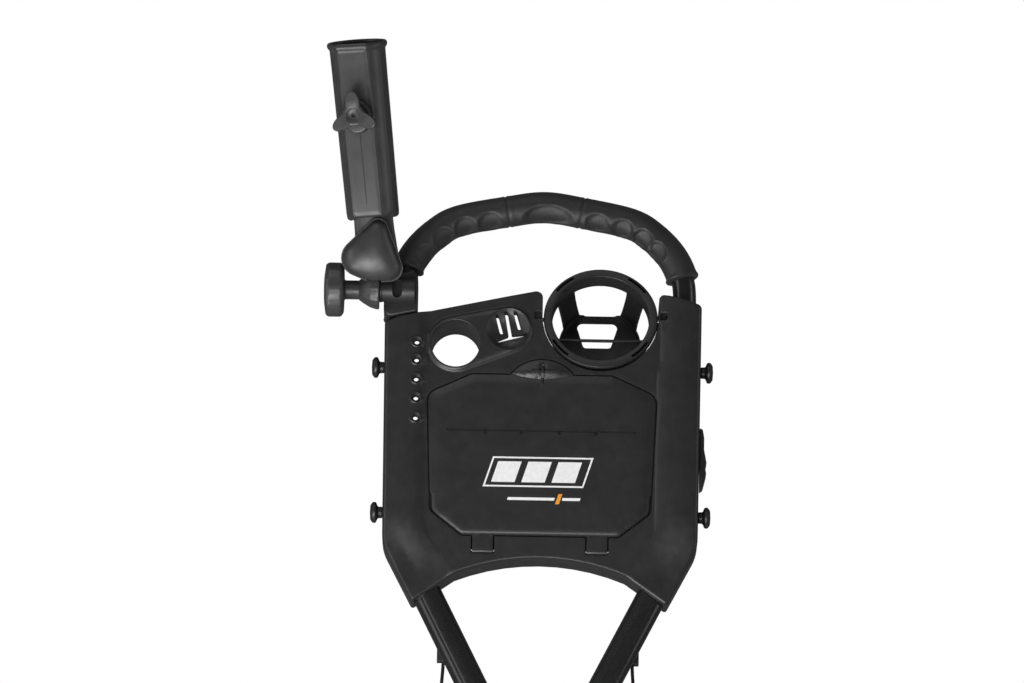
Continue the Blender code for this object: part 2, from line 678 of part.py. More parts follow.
def build_pegs(datum):
    profile = [(0.0, 0.0), (5.2, 0.0), (5.2, 4.0), (9.4, 5.8), (9.5, 8.6), (6.6, 10.8), (0.0, 11.2)]
    for side, label in ((-1, "left"), (1, "right")):
        for x, z, level in ((142.6, 60.6, "upper"), (141.3, -74.9, "lower")):
            peg = placed(turned(profile, 20), (0.0, 0.0, 0.0), side * 90.0, "Y")
            add_part(f"strap_peg_{level}_{label}", peg, "moulded", datum,
                     (side * x, TUBE_Y + 1.0, z))


def build_side_clip(datum):
    """A stepped clip on the right side."""
    steps = [(0.0, -50.0), (3.0, -48.0), (6.0, -36.0), (5.0, -31.0), (6.2, -26.0), (4.0, -14.0),
             (4.0, -3.0), (2.6, 5.0), (0.0, 6.0)]
    clip = prism(steps, 6.0, 24.0)
    add_part("side_clip", clip, "moulded", datum, (CLIP_X, 0.0, 0.0))


# ---------------------------------------------------------------- umbrella holder

def build_clamp(datum):
    """Saddle and strap around the handle tube, with the swivel's sleeve in front."""
    saddle = rounded([(-144.0, 102.0, 7), (-113.5, 108.4, 3), (-113.5, 142.0, 4),
                      (-118.0, 148.0, 3), (-144.0, 139.0, 4)], 3)
    front = prism(saddle, -4.0, TUBE_Y - GAP, 2.0)
    sleeve = rod((-147.7, SWIVEL_Y, SWIVEL_Z), (-116.0, SWIVEL_Y, SWIVEL_Z), 10.8, 24)
    passage = swept(tube_run(-1), TUBE_RADIUS + GAP, TUBE_RADIUS + GAP, 0.0, 10)
    spots = ((-141.4, 110.6), (-141.4, 134.0))
    bolts = [rod((x, -1.0, z), (x, 40.0, z), 1.9, 10) for x, z in spots]
    slot = prism(capsule((-131.9, SWIVEL_Z - 4.2), (-131.9, SWIVEL_Z + 4.2), 9.0), -30.0, -13.0)
    bore = rod((-160.0, SWIVEL_Y, SWIVEL_Z), (-130.0, SWIVEL_Y, SWIVEL_Z), SHAFT + GAP, 12)
    body = carve(front, [sleeve], [passage, slot, bore] + bolts)
    add_part("clamp_body", body, "satin", datum)
    passage = swept(tube_run(-1), TUBE_RADIUS + GAP, TUBE_RADIUS + GAP, 0.0, 10)
    bolts = [rod((x, -1.0, z), (x, 40.0, z), 1.9, 10) for x, z in spots]
    back = carve(prism(saddle, TUBE_Y + GAP, TUBE_Y + 15.0), (), [passage] + bolts)
    add_part("clamp_strap", back, "satin", datum)
    for index, (x, z) in enumerate(spots):
        profile = [(0.0, 0.0), (1.5, 0.0), (1.5, 27.0), (3.2, 27.0), (3.2, 29.4), (0.0, 29.4)]
        screw = placed(turned(profile, 10), (0.0, 0.0, 0.0), -90.0, "X")
        add_part(f"clamp_screw_{index + 1}", screw, "steel", datum, (x, 3.4, z))


def cap_outline(scale, steps):
    """A rounded triangle with one corner up, about the tilt axis."""
    corners = [(4.5, 39.4, 9), (-45.0, -10.0, 17), (-4.0, -26.5, 30), (29.0, -23.5, 12)]
    return [(x * scale, z * scale) for x, z in rounded(corners, steps)]


def domed(rings, start):
    """A crown of shrinking outlines, (scale, height) from its foot up, in front of start."""
    bm = bmesh.new()
    loops = [[bm.verts.new((x, start - height, z)) for x, z in cap_outline(scale, 5)]
             for scale, height in rings]
    count = len(loops[0])
    for near, far in zip(loops, loops[1:]):
        for i in range(count):
            j = (i + 1) % count
            bm.faces.new((near[i], near[j], far[j], far[i]))
    bm.faces.new(loops[0])
    bm.faces.new(loops[-1])
    bmesh.ops.recalc_face_normals(bm, faces=bm.faces)
    return bm


def build_swivel(datum):
    """The knob draws the ribbed collar against the sleeve and sets the holder's lean."""
    swivel = add_empty("swivel_axis", (SWIVEL_X, SWIVEL_Y, SWIVEL_Z), datum, (LEAN, 0.0, 0.0))
    profile = [(SHAFT + GAP, 0.0), (17.0, 0.0), (17.3, 2.0), (15.6, 8.0), (11.8, 14.5),
               (8.7, 18.6), (SHAFT + GAP, 18.6)]
    collar = placed(turned(profile, 24, hollow=True), (9.0, 0.0, 0.0), -90.0, "Y")
    web = block((-7.0, CAP_FACE + 0.4, 4.0), (7.0, 11.5, TILT_UP - 8.0))
    shoulder = block((-7.0, -4.0, 3.0), (7.0, 11.5, 10.5))
    crown = domed([(0.90, 0.0), (0.90, 2.0), (0.80, 6.4), (0.58, 9.6), (0.28, 11.2)], 0.0)
    for vert in crown.verts:
        vert.co.y = -vert.co.y
    bmesh.ops.recalc_face_normals(crown, faces=crown.faces)
    placed(crown, (TILT_X, CAP_FACE, TILT_UP))
    axle = rod((TILT_X, 0.0, TILT_UP), (TILT_X, CAP_FACE + 8.0, TILT_UP), SHAFT + GAP, 14)
    shaft = rod((-30.0, 0.0, 0.0), (30.0, 0.0, 0.0), SHAFT + GAP, 12)
    lug_front = (TILT_X, 0.4 - CAP_FRONT - GAP, TILT_UP)
    lug_room = rod(lug_front, (TILT_X, CAP_FACE, TILT_UP), LUG_RADIUS + GAP, 28)
    collar = carve(collar, [shoulder], [lug_room])
    add_part("swivel_collar", carve(collar, [web, crown], [axle, shaft]), "satin", swivel)

    profile = [(0.0, -46.0), (SHAFT, -46.0), (SHAFT, -12.0), (8.6, -12.0), (8.6, 0.4),
               (21.0, 0.9), (24.4, 3.5), (24.5, 14.5), (22.8, 17.3), (12.0, 18.8), (0.0, 19.2)]
    knob = placed(turned(profile, 24), (0.0, 0.0, 0.0), -90.0, "Y")
    knob_turn = add_empty("knob_axis", (SWIVEL_X - 21.9, SWIVEL_Y, SWIVEL_Z), datum)
    add_part("swivel_knob", knob, "satin", knob_turn)

    cap = domed([(1.0, 0.0), (1.0, 2.0), (0.94, 6.0), (0.80, 10.0), (0.60, 12.8), (0.36, 14.6),
                 (0.12, 15.2)], -CAP_FRONT)
    placed(cap, (TILT_X, 0.0, TILT_UP))
    bore = rod((TILT_X, 0.0, TILT_UP), (TILT_X, -CAP_FRONT - 8.0, TILT_UP), SHAFT + GAP, 14)
    scoop = placed(turned([(17.9, -1.6), (17.9, 2.6), (16.2, 8.2), (12.4, 14.8), (9.4, 18.8),
                           (9.4, 30.0)], 24), (9.0, 0.0, 0.0), -90.0, "Y")
    add_part("tilt_cap", carve(cap, (), [bore, scoop]), "satin", swivel)
    pin = rod((TILT_X, -CAP_FRONT - 7.6, TILT_UP), (TILT_X, CAP_FACE + 7.6, TILT_UP), SHAFT, 14)
    add_part("tilt_pin", pin, "steel", swivel)
    return swivel


def flatted(radius, flat, steps):
    """A circle with a flat in front, where the thumb screw sits."""
    half = math.degrees(math.acos(flat / radius))
    return arc((0.0, 0.0), radius, -90.0 + half, 270.0 - half, steps)


def lofted(sections):
    """A solid through outlines (height, points) that have the same number of points."""
    bm = bmesh.new()
    loops = [[bm.verts.new((x, y, height)) for x, y in points] for height, points in sections]
    count = len(loops[0])
    for near, far in zip(loops, loops[1:]):
        for i in range(count):
            j = (i + 1) % count
            bm.faces.new((near[i], near[j], far[j], far[i]))
    bm.faces.new(loops[0])
    bm.faces.new(loops[-1])
    bmesh.ops.recalc_face_normals(bm, faces=bm.faces)
    return bm


def build_umbrella_tube(swivel):
    """The tube tilts between the caps; its origin is on the tilt axis."""
    tilt = add_empty("tilt_axis", (TILT_X, 0.0, TILT_UP), swivel, (0.0, -TILT, 0.0))
    steps = 31
    levels = [(31.4, 20.9), (35.4, 23.6), (185.4, 25.1), (186.4, 26.6), (189.7, 27.2), (191.2, 26.0)]
    sections = []
    for height, radius in levels:
        sections.append((height, flatted(radius, radius - FLAT_STEP, steps)))
    barrel = lofted(sections)
    for vert in barrel.verts:
        if vert.co.z > 185.9:
            vert.co.z += RIM_DIP * vert.co.y - RIM_SLANT * vert.co.x
        if vert.co.z < 36.0:
            vert.co.z += min(FRONT_STEP, 0.8 * max(0.0, -vert.co.y - 6.5))
    neck = []
    for height, half_width, half_depth in ((3.0, 19.0, 6.0), (20.0, 17.9, 6.0), (33.0, 17.6, 6.0)):
        neck.append((height, [(x * half_width, y * half_depth)
                              for x, y in circle((0.0, 0.0), 1.0, 28)]))
    lug = prism(circle((0.0, 0.0), LUG_RADIUS, 28), 0.4 - CAP_FRONT, CAP_FACE - 0.4)
    bore = lofted([(height, flatted(radius - TUBE_SKIN, radius - FLAT_STEP - TUBE_SKIN, steps))
                   for height, radius in ((44.0, 23.5), (200.0, 25.2))])
    axle = rod((0.0, -20.0, 0.0), (0.0, 20.0, 0.0), SHAFT + GAP, 14)
    boss = rod((0.0, -19.5, THUMB_UP - 2.0), (0.0, -28.0, THUMB_UP - 2.0), 12.6, 24)
    screw_way = rod((0.0, 0.0, THUMB_UP), (0.0, -40.0, THUMB_UP), SHAFT + GAP, 12)
    for turned_piece in (barrel, bore, boss, screw_way):
        placed(turned_piece, (0.0, 0.0, 0.0), -TUBE_TWIST, "Z")
    tube = carve(barrel, [lofted(neck), lug, boss], [bore, axle, screw_way])
    add_part("umbrella_tube", tube, "satin", tilt)

    head = []
    for step in range(36):
        angle = math.radians(10.0 * step)
        lobe = abs(math.cos(1.5 * (angle - math.pi / 2.0))) ** 3
        reach = THUMB_HUB + (THUMB_REACH - THUMB_HUB) * lobe
        head.append((reach * math.cos(angle), reach * math.sin(angle)))
    grip = prism(head, -6.0, 0.0, 1.0)
    stem = rod((0.0, -1.0, 0.0), (0.0, 6.4, 0.0), 6.0, 16)
    shank = rod((0.0, 4.0, 0.0), (0.0, 16.0, 0.0), SHAFT, 12)
    dimple = rod((0.0, -8.0, 0.0), (0.0, -4.4, 0.0), 2.0, 12)
    forward = Vector((0.0, -35.0, THUMB_UP))
    thumb = add_empty("thumb_axis", Matrix.Rotation(math.radians(-TUBE_TWIST), 3, "Z") @ forward,
                      tilt, (0.0, 0.0, -TUBE_TWIST))
    add_part("thumb_screw", carve(grip, [stem, shank], [dimple]), "satin", thumb)


# ---------------------------------------------------------------- fold joint

def build_fold_joint(datum):
    """A bracket that holds both tubes, hinged to the clevis on the main frame."""
    body = rounded([(-17.0, -352.0, 5), (17.0, -352.0, 5), (50.0, -292.0, 6), (41.0, -274.0, 5),
                    (0.0, -300.0, 12), (-41.0, -274.0, 5), (-50.0, -292.0, 6)], 3)
    plate = prism(body, 0.0, 30.0)
    tongue = block((-11.0, 4.0, -368.0), (11.0, 26.0, -345.0))
    knuckle = rod((-11.0, TUBE_Y, FOLD_Z), (11.0, TUBE_Y, FOLD_Z), 12.0, 24)
    cuts = [swept(lower_path(side, 60.0, LOWER_END_X - 1.0), LOWER_HALF_WIDTH + GAP,
                  LOWER_HALF_DEPTH + GAP, 0.0, 20) for side in (-1, 1)]
    cuts.append(rod((-20.0, TUBE_Y, FOLD_Z), (20.0, TUBE_Y, FOLD_Z), FOLD_PIN + GAP, 16))
    add_part("fold_bracket", carve(plate, [tongue, knuckle], cuts), "satin", datum)

    foot = block((-30.0, -5.0, -FOOT_TO_DATUM), (30.0, 35.0, -FOOT_TO_DATUM + 12.0))
    ears = []
    for side in (-1, 1):
        low, high = sorted((side * 11.6, side * (11.6 + EAR)))
        ears.append(block((low, 3.0, -FOOT_TO_DATUM + 6.0), (high, 27.0, FOLD_Z)))
        ears.append(rod((low, TUBE_Y, FOLD_Z), (high, TUBE_Y, FOLD_Z), 12.0, 24))
    eye = rod((-40.0, TUBE_Y, FOLD_Z), (40.0, TUBE_Y, FOLD_Z), FOLD_PIN + GAP, 16)
    add_part("frame_clevis", carve(foot, ears, [eye]), "satin", datum)
    profile = [(0.0, -25.6), (8.0, -25.6), (8.0, -21.0), (FOLD_PIN, -21.0), (FOLD_PIN, 31.0),
               (0.0, 31.0)]
    pin = placed(turned(profile, 16), (0.0, 0.0, 0.0), 90.0, "Y")
    add_part("fold_pin", pin, "steel", datum, (0.0, TUBE_Y, FOLD_Z))
    profile = [(0.0, 12.0), (FOLD_PIN + GAP, 12.0), (FOLD_PIN + GAP, 0.0), (10.0, 0.0),
               (10.0, 4.0), (18.0, 6.0), (18.0, 15.0), (14.0, 18.0), (0.0, 18.0)]
    knob = placed(turned(profile, 24), (0.0, 0.0, 0.0), 90.0, "Y")
    add_part("fold_lock_knob", knob, "satin", datum, (21.2, TUBE_Y, FOLD_Z))


def build_bag_cradle(datum):
    """A wire that holds the neck of the bag, behind the tubes."""
    half = [(84.0, 33.0, -196.0), (84.6, 33.0, -216.0), (87.0, 34.0, -246.0), (90.0, 44.0, -272.0),
            (90.0, 66.0, -284.0), (78.0, 94.0, -288.0), (42.0, 118.0, -288.0), (0.0, 126.0, -288.0)]
    route = [Vector(p) for p in half] + [Vector((-x, y, z)) for x, y, z in reversed(half[:-1])]
    path = smooth_path(route, 3)
    curve = bpy.data.curves.new("bag_cradle_wire", "CURVE")
    curve.dimensions = "3D"
    curve.bevel_depth = 1.6 * MM
    curve.bevel_resolution = 1
    curve.render_resolution_u = 0
    curve.use_fill_caps = True
    spline = curve.splines.new("POLY")
    spline.points.add(len(path) - 1)
    for point, place in zip(spline.points, path):
        point.co = (*(place * MM), 1.0)
    wire = bpy.data.objects.new("bag_cradle_wire", curve)
    curve.materials.append(finish("bag_cradle_wire", "paint"))
    wire.parent = datum
    bpy.context.scene.collection.objects.link(wire)
    for side, label in ((-1, "left"), (1, "right")):
        lug = block((side * 84.0 - 6.0, 26.6, -208.0), (side * 84.0 + 6.0, 36.0, -190.0))
        way = rod((side * 84.0, 33.0, -230.0), (side * 84.2, 33.0, -194.0), 2.3, 12)
        add_part("cradle_lug_" + label, carve(lug, (), [way]), "satin", datum)


def main():
    for old in list(bpy.data.objects):
        bpy.data.objects.remove(old)
    datum = add_empty("console_datum", (0.0, -TUBE_Y, FOOT_TO_DATUM))
    build_tubes(datum)
    build_grips(datum)
    build_console_front(datum)
    build_console_rear(datum)
    build_tray(datum)
    build_lid(datum)
    build_cup_holder(datum)
    build_pegs(datum)
    build_side_clip(datum)
    build_clamp(datum)
    build_umbrella_tube(build_swivel(datum))
    build_fold_joint(datum)
    build_bag_cradle(datum)


main()
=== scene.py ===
"""Looks for the head of a golf push cart: handle, console, cup holder and umbrella tube.

Lengths are in the console's own millimetres: X to the golfer's right, Y away from the
golfer, Z up, about the middle of the console's front face. to_world() turns them into
the frame's metres.
"""

import json
import math

import bmesh
import bpy
import numpy as np
from mathutils import Matrix, Vector
from mathutils.geometry import delaunay_2d_cdt
from mathutils.kdtree import KDTree


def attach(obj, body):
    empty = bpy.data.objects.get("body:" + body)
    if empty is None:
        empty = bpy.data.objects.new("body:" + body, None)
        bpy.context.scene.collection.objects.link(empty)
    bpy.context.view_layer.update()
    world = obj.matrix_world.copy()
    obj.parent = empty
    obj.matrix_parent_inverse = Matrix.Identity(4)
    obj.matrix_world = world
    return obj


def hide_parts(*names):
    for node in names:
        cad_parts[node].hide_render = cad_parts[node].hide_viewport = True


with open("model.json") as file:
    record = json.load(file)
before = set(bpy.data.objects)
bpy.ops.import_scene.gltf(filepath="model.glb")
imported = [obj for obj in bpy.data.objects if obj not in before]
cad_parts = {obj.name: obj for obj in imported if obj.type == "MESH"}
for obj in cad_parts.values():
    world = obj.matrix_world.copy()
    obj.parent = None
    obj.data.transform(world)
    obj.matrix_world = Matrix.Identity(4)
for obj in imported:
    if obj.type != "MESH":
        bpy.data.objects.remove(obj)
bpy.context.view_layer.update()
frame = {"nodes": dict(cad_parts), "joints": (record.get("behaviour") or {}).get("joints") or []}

MM = 0.001
DATUM = Vector((0.0, -15.0, 415.0))        # console datum, seen from the foot face
JOINTS = {joint["name"]: joint for joint in frame["joints"]}

# console shells
SPLIT = 15.0
WALL = 3.2
SIDE_WALL = 2.3
SEAM = 0.02
HALF_TOP = 142.8
HALF_BOTTOM = 140.8
TIP = (113.2, -160.4)
SIDE_CORNER = -107.3
ARC_END = (76.0, -134.0)
ARC_RADIUS = 200.0
POD_INNER = 102.5
POD_RISE = 1.1
POD_CROWN = 3.8
TAB_SOFT = 9.0                  # how softly the finger tab's two faces meet
EDGE_RADIUS = 3.4

# what is let into the console
BALL = (-78.6, 79.4)
BALL_RADIUS = 21.8
BALL_SLEEVE = 24.6
BALL_BACK = 43.0
DISH = (-31.2, 93.5)
DISH_RADIUS = 19.6
DISH_DEPTH = 7.0
PUCK_RADIUS = 22.7
PUCK_BACK = 10.6
ISLAND_RISE = 2.5
TEE_X = -113.4
TEE_LEVELS = (79.8, 63.0, 45.1, 27.3, 8.8)

# lid
LID_TOP = 51.5
LID_BOTTOM = -98.5
LID_FRONT = -2.2
LID_BACK = 3.0
LID_GAP = 0.8
TAB_HALF = 28.5
TAB_RISE = 14.0
HINGE_X = 51.0
HINGE_HALF = 9.5
HINGE_LOW = -114.5
GROOVE_Z = -1.2
GROOVE_HALF = 84.0
BUMPS = (-49.8, -16.9, 16.9, 49.8)

# tubes and grips
TUBE_Y = 15.0
TUBE_X = 127.6
TUBE_RADIUS = 10.5
GRIP_RADIUS = 14.2
LOWER_START = (125.2, -99.7)    # a point on each lower tube's line
LOWER_SLOPE = 1.995             # drop for each unit inwards
LOWER_HALF_WIDTH = 13.4
FINGERS = {"grip_left": (-115.5, -98.0, -74.8, -50.5), "grip_centre": (4.0,),
           "grip_right": (49.5, 72.8, 95.0, 109.5)}
FINGER_HALF = {"grip_left": 11.6, "grip_centre": 25.5, "grip_right": 11.6}
SCOOP_TURN = 38.0               # degrees from straight down to a scoop's middle
SCOOP_SPAN = 47.0
SCOOP_DEPTH = 2.7

# cup holder
CUP_CLEAR = 52.4
CUP_SINK = 50.4
CUP_TILT = 13.6
CUP_LIP = 5.0
CUP_OUTER = 51.5
CUP_INNER = 43.7
CUP_BAND = 17.5
CUP_DEPTH = 54.0

# umbrella holder
LEAN = 21.0
TILT = 6.3
TUBE_TWIST = 12.0
THUMB_UP = 127.0
RIM_SLANT = 0.035
RIM_DIP = 0.05
FRONT_STEP = 2.2
FLAT_STEP = 3.6
LUG_RADIUS = 19.2
NECK_HALF_DEPTH = 5.9
CAP_FACE = 6.4
CAP_FRONT = 9.2
CAP_PLACE = (6.0, 0.0, 33.5)

# camera and surroundings
CAMERA_AIM = (-27.9, 0.0, 82.4)
CAMERA_DISTANCE = 6.0           # metres
CAMERA_LENS = 234.4
CAMERA_CLIMB = 17.0             # degrees that the camera looks up
CAMERA_ROLL = 1.0
FLOOR_Z = -0.6                  # metres
SURROUND = 0.12


# ---------------------------------------------------------------- outlines in X and Z

def arc(centre, radius, start, end, steps):
    """Points on an arc, angles in degrees, both ends included."""
    angles = np.radians(np.linspace(start, end, steps + 1))
    return [(centre[0] + radius * math.cos(a), centre[1] + radius * math.sin(a)) for a in angles]


def circle(centre, radius, steps):
    return arc(centre, radius, 0.0, 360.0 - 360.0 / steps, steps - 1)


def rounded(corners, steps=8):
    """Round each corner (x, z, radius) of a closed outline."""
    points = []
    for i, (x, z, radius) in enumerate(corners):
        here = Vector((x, z))
        if radius <= 0.0:
            points.append((x, z))
            continue
        before = (Vector(corners[i - 1][:2]) - here).normalized()
        after = (Vector(corners[(i + 1) % len(corners)][:2]) - here).normalized()
        half = before.angle(after) / 2.0
        centre = here + (before + after).normalized() * (radius / math.sin(half))
        first = here + before * (radius / math.tan(half)) - centre
        last = here + after * (radius / math.tan(half)) - centre
        turn = math.atan2(first.x * last.y - first.y * last.x, first.dot(last))
        for step in range(steps + 1):
            angle = turn * step / steps
            points.append((centre.x + first.x * math.cos(angle) - first.y * math.sin(angle),
                           centre.y + first.x * math.sin(angle) + first.y * math.cos(angle)))
    return points


def mirrored(outline):
    return [(-x, z) for x, z in reversed(outline)]


def shifted(outline, distance):
    """Move a counter-clockwise outline outwards along its normals."""
    moved = []
    for i, point in enumerate(outline):
        here = Vector(point)
        before = (here - Vector(outline[i - 1])).normalized()
        after = (Vector(outline[(i + 1) % len(outline)]) - here).normalized()
        normal = Vector((before.y + after.y, -before.x - after.x)).normalized()
        stretch = 1.0 / max(0.5, normal.dot(Vector((before.y, -before.x))))
        moved.append(tuple(here + normal * distance * stretch))
    return moved


def inset(outline, distance):
    """Shrink an outline, dropping the points that a tight corner folds over."""
    moved = np.array(shifted(outline, -distance))
    kept = moved[depth_inside(moved, outline) > distance - 0.06]
    apart = np.hypot(*(kept - np.roll(kept, 1, axis=0)).T) > 0.25
    return [tuple(point) for point in kept[apart]]


def sampled(outline, step):
    """Points along a closed outline, no further apart than step, with its corners kept."""
    points = []
    for start, end in zip(outline, outline[1:] + outline[:1]):
        parts = max(1, math.ceil(math.dist(start, end) / step))
        for i in range(parts):
            points.append((start[0] + (end[0] - start[0]) * i / parts,
                           start[1] + (end[1] - start[1]) * i / parts))
    return points


def depth_inside(points, outline):
    """How far inside a closed outline each point lies, negative outside."""
    x, z = np.asarray(points, float).T
    starts = np.asarray(outline, float)
    sides = np.roll(starts, -1, axis=0) - starts
    nearest = np.full(len(x), 1e9)
    inside = np.zeros(len(x), bool)
    for (ax, az), (dx, dz) in zip(starts, sides):
        share = np.clip(((x - ax) * dx + (z - az) * dz) / max(dx * dx + dz * dz, 1e-12), 0.0, 1.0)
        nearest = np.minimum(nearest, np.hypot(x - ax - share * dx, z - az - share * dz))
        crosses = (az > z) != (az + dz > z)
        if abs(dz) > 1e-12:
            inside ^= crosses & (x < ax + (z - az) * dx / dz)
    return np.where(inside, nearest, -nearest)


def two_circle_hull(first, radius_a, second, radius_b, steps):
    away = Vector(second) - Vector(first)
    heading = math.degrees(math.atan2(away.y, away.x))
    spread = math.degrees(math.acos((radius_a - radius_b) / away.length))
    return (arc(second, radius_b, heading - spread, heading + spread, steps)
            + arc(first, radius_a, heading + spread, heading + 360.0 - spread, steps))


def capsule(start, end, width, steps=8):
    heading = math.degrees(math.atan2(end[1] - start[1], end[0] - start[0]))
    return (arc(end, width / 2.0, heading - 90.0, heading + 90.0, steps)
            + arc(start, width / 2.0, heading + 90.0, heading + 270.0, steps))


# ---------------------------------------------------------------- soft steps

def ease(share):
    share = np.clip(share, 0.0, 1.0)
    return share * share * (3.0 - 2.0 * share)


def lip(depth, radius):
    """How far a rounded edge falls away, by the distance from that edge."""
    reach = radius - np.clip(depth, 0.0, radius)
    return radius - np.sqrt(np.maximum(radius * radius - reach * reach, 0.0))


# ---------------------------------------------------------------- mesh work

def ring_at(bm, outline, height):
    """A loop of vertices over an outline; height is a Y, or a function that gives it."""
    heights = height(np.array(outline)) if callable(height) else [height] * len(outline)
    return [bm.verts.new((x, float(y), z)) for (x, z), y in zip(outline, heights)]


def wall(bm, first, second):
    for i in range(len(first)):
        j = (i + 1) % len(first)
        bm.faces.new((first[i], first[j], second[j], second[i]))


def wall_to(bm, loop, y, steps=1):
    """Carry a loop straight along Y in a few steps and give back its far end."""
    start = [vert.co.copy() for vert in loop]
    for step in range(1, steps + 1):
        share = step / steps
        after = [bm.verts.new((co.x, co.y + (y - co.y) * share, co.z)) for co in start]
        wall(bm, loop, after)
        loop = after
    return loop


def thinned(points, clear, kept):
    """Drop the points that stand closer than clear to a kept one, or to each other."""
    tree = KDTree(len(kept))
    for index, (x, z) in enumerate(kept):
        tree.insert((x, z, 0.0), index)
    tree.balance()
    cells = set()
    result = []
    for x, z in points:
        cell = (round(x / clear), round(z / clear))
        if cell in cells or tree.find((x, z, 0.0))[2] < clear:
            continue
        cells.add(cell)
        result.append((x, z))
    return result


def sown(shapes, creases, pitch):
    """Points between shapes, the outer one first: dense beside edges and creases.

    A shape is (outline, lip radius); a crease is (outline, half width).
    """
    kept = [point for outline, _ in shapes for point in outline]
    edge = shapes[0][0]

    def add(points, clear):
        points = np.array(points)
        free = depth_inside(points, edge) > clear * 0.45
        for outline, _ in shapes[1:]:
            free &= depth_inside(points, outline) < -clear * 0.45
        kept.extend(thinned([tuple(p) for p in points[free]], clear, kept))

    for index, (outline, radius) in enumerate(shapes):
        side = -1.0 if index == 0 else 1.0
        for share in (0.10, 0.28, 0.52, 0.78, 1.0, 1.25):
            add(shifted(outline, side * radius * share), max(0.22, radius * 0.13))
    for outline, half in creases:
        for share in (0.0, -0.5, 0.5, -1.0, 1.0):
            add(shifted(sampled(outline, max(half * 1.2, 0.9)), half * share), half * 0.42)
    low = np.min(edge, axis=0)
    high = np.max(edge, axis=0)
    grid = [(x, z) for x in np.arange(low[0], high[0], pitch) for z in np.arange(low[1], high[1], pitch)]
    add(grid, pitch * 0.45)
    return kept[sum(len(outline) for outline, _ in shapes):]


def skin(bm, loops, extra=(), height=0.0):
    """Faces between loops of vertices, the outer one first, through extra points."""
    verts = [vert for loop in loops for vert in loop]
    if len(extra):
        verts += ring_at(bm, list(extra), height)
    edges = []
    start = 0
    for loop in loops:
        count = len(loop)
        edges += [(start + i, start + (i + 1) % count) for i in range(count)]
        start += count
    places = [Vector((vert.co.x, vert.co.z)) for vert in verts]
    out_places, _, faces, origins = delaunay_2d_cdt(places, edges, [], 1, 1e-6)[:4]
    centres = np.array([[sum(out_places[i][k] for i in face) / 3.0 for k in (0, 1)] for face in faces])
    keep = np.ones(len(faces), bool)
    for index, loop in enumerate(loops):
        depth = depth_inside(centres, [(v.co.x, v.co.z) for v in loop])
        keep &= depth > 0.0 if index == 0 else depth < 0.0
    for face, kept in zip(faces, keep):
        if kept:
            bm.faces.new([verts[origins[i][0]] for i in face])


def bands(bm, rings, closed_ends=False):
    """Faces between rings of equal length; the ends may be filled."""
    loops = [[bm.verts.new(point) for point in ring] for ring in rings]
    for near, far in zip(loops, loops[1:]):
        wall(bm, near, far)
    if closed_ends:
        bm.faces.new(loops[0])
        bm.faces.new(loops[-1])
    return loops


def turned(bm, profile, steps, hollow=False):
    """A profile of (radius, height) turned about Z. A hollow one closes on itself."""
    loops = []
    for radius, height in profile:
        if radius < 1e-6:
            loops.append([bm.verts.new((0.0, 0.0, height))])
        else:
            loops.append([bm.verts.new((x, y, height)) for x, y in circle((0.0, 0.0), radius, steps)])
    pairs = list(zip(loops, loops[1:]))
    if hollow:
        pairs.append((loops[-1], loops[0]))
    for low, high in pairs:
        for i in range(steps):
            j = (i + 1) % steps
            corners = [low[i % len(low)], low[j % len(low)], high[j % len(high)], high[i % len(high)]]
            bm.faces.new(list(dict.fromkeys(corners)))
    for loop in (loops[0], loops[-1]):
        if not hollow and len(loop) > 1:
            bm.faces.new(loop)


def softened(profile, radius, closed=False, steps=4):
    """Round the corners of a (radius, height) profile, less where its sides are short."""
    corners = []
    for i, (r, h) in enumerate(profile):
        end = not closed and i in (0, len(profile) - 1)
        before = math.dist((r, h), profile[i - 1])
        after = math.dist((r, h), profile[(i + 1) % len(profile)])
        corners.append((r, h, 0.0 if end or r < 1e-6 else min(radius, before * 0.4, after * 0.4)))
    points = rounded_by_reach(corners, steps)
    return points


def rounded_by_reach(corners, steps):
    """Cut each corner back by its reach and bridge the cut with a curve."""
    points = []
    for i, (x, z, reach) in enumerate(corners):
        here = Vector((x, z))
        if reach <= 0.0:
            points.append((x, z))
            continue
        before = here + (Vector(corners[i - 1][:2]) - here).normalized() * reach
        after = here + (Vector(corners[(i + 1) % len(corners)][:2]) - here).normalized() * reach
        for step in range(steps + 1):
            t = step / steps
            place = before * (1 - t) ** 2 + here * 2 * t * (1 - t) + after * t * t
            points.append((place.x, place.y))
    return points


def smooth_path(points, steps):
    """A Catmull-Rom curve through the points."""
    route = [Vector(p) for p in points]
    ends = [route[0] * 2 - route[1]] + route + [route[-1] * 2 - route[-2]]
    path = []
    for a, b, c, d in zip(ends, ends[1:], ends[2:], ends[3:]):
        for step in range(steps):
            t = step / steps
            path.append(0.5 * ((2 * b) + (c - a) * t + (2 * a - 5 * b + 4 * c - d) * t * t
                               + (3 * b - 3 * c + d - a) * t * t * t))
    path.append(route[-1])
    return path


def swept(bm, path, section, closed_ends=True):
    """Sweep section(index, angle) -> (across, deep) along a path in the X-Z plane.

    Angle 0 points to the outside of the bend and 90 away from the golfer.
    """
    rings = []
    angles = np.linspace(0.0, 360.0, section.sides, endpoint=False)
    for i, point in enumerate(path):
        ahead = (path[min(i + 1, len(path) - 1)] - path[max(i - 1, 0)]).normalized()
        side = Vector((-ahead.z, 0.0, ahead.x))
        ring = []
        for angle in angles:
            across, deep = section(i, angle)
            ring.append(point + side * across + Vector((0.0, deep, 0.0)))
        rings.append(ring)
    return bands(bm, rings, closed_ends)


# ---------------------------------------------------------------- pieces

def to_world():
    return Matrix.Scale(MM, 4) @ Matrix.Translation(DATUM)


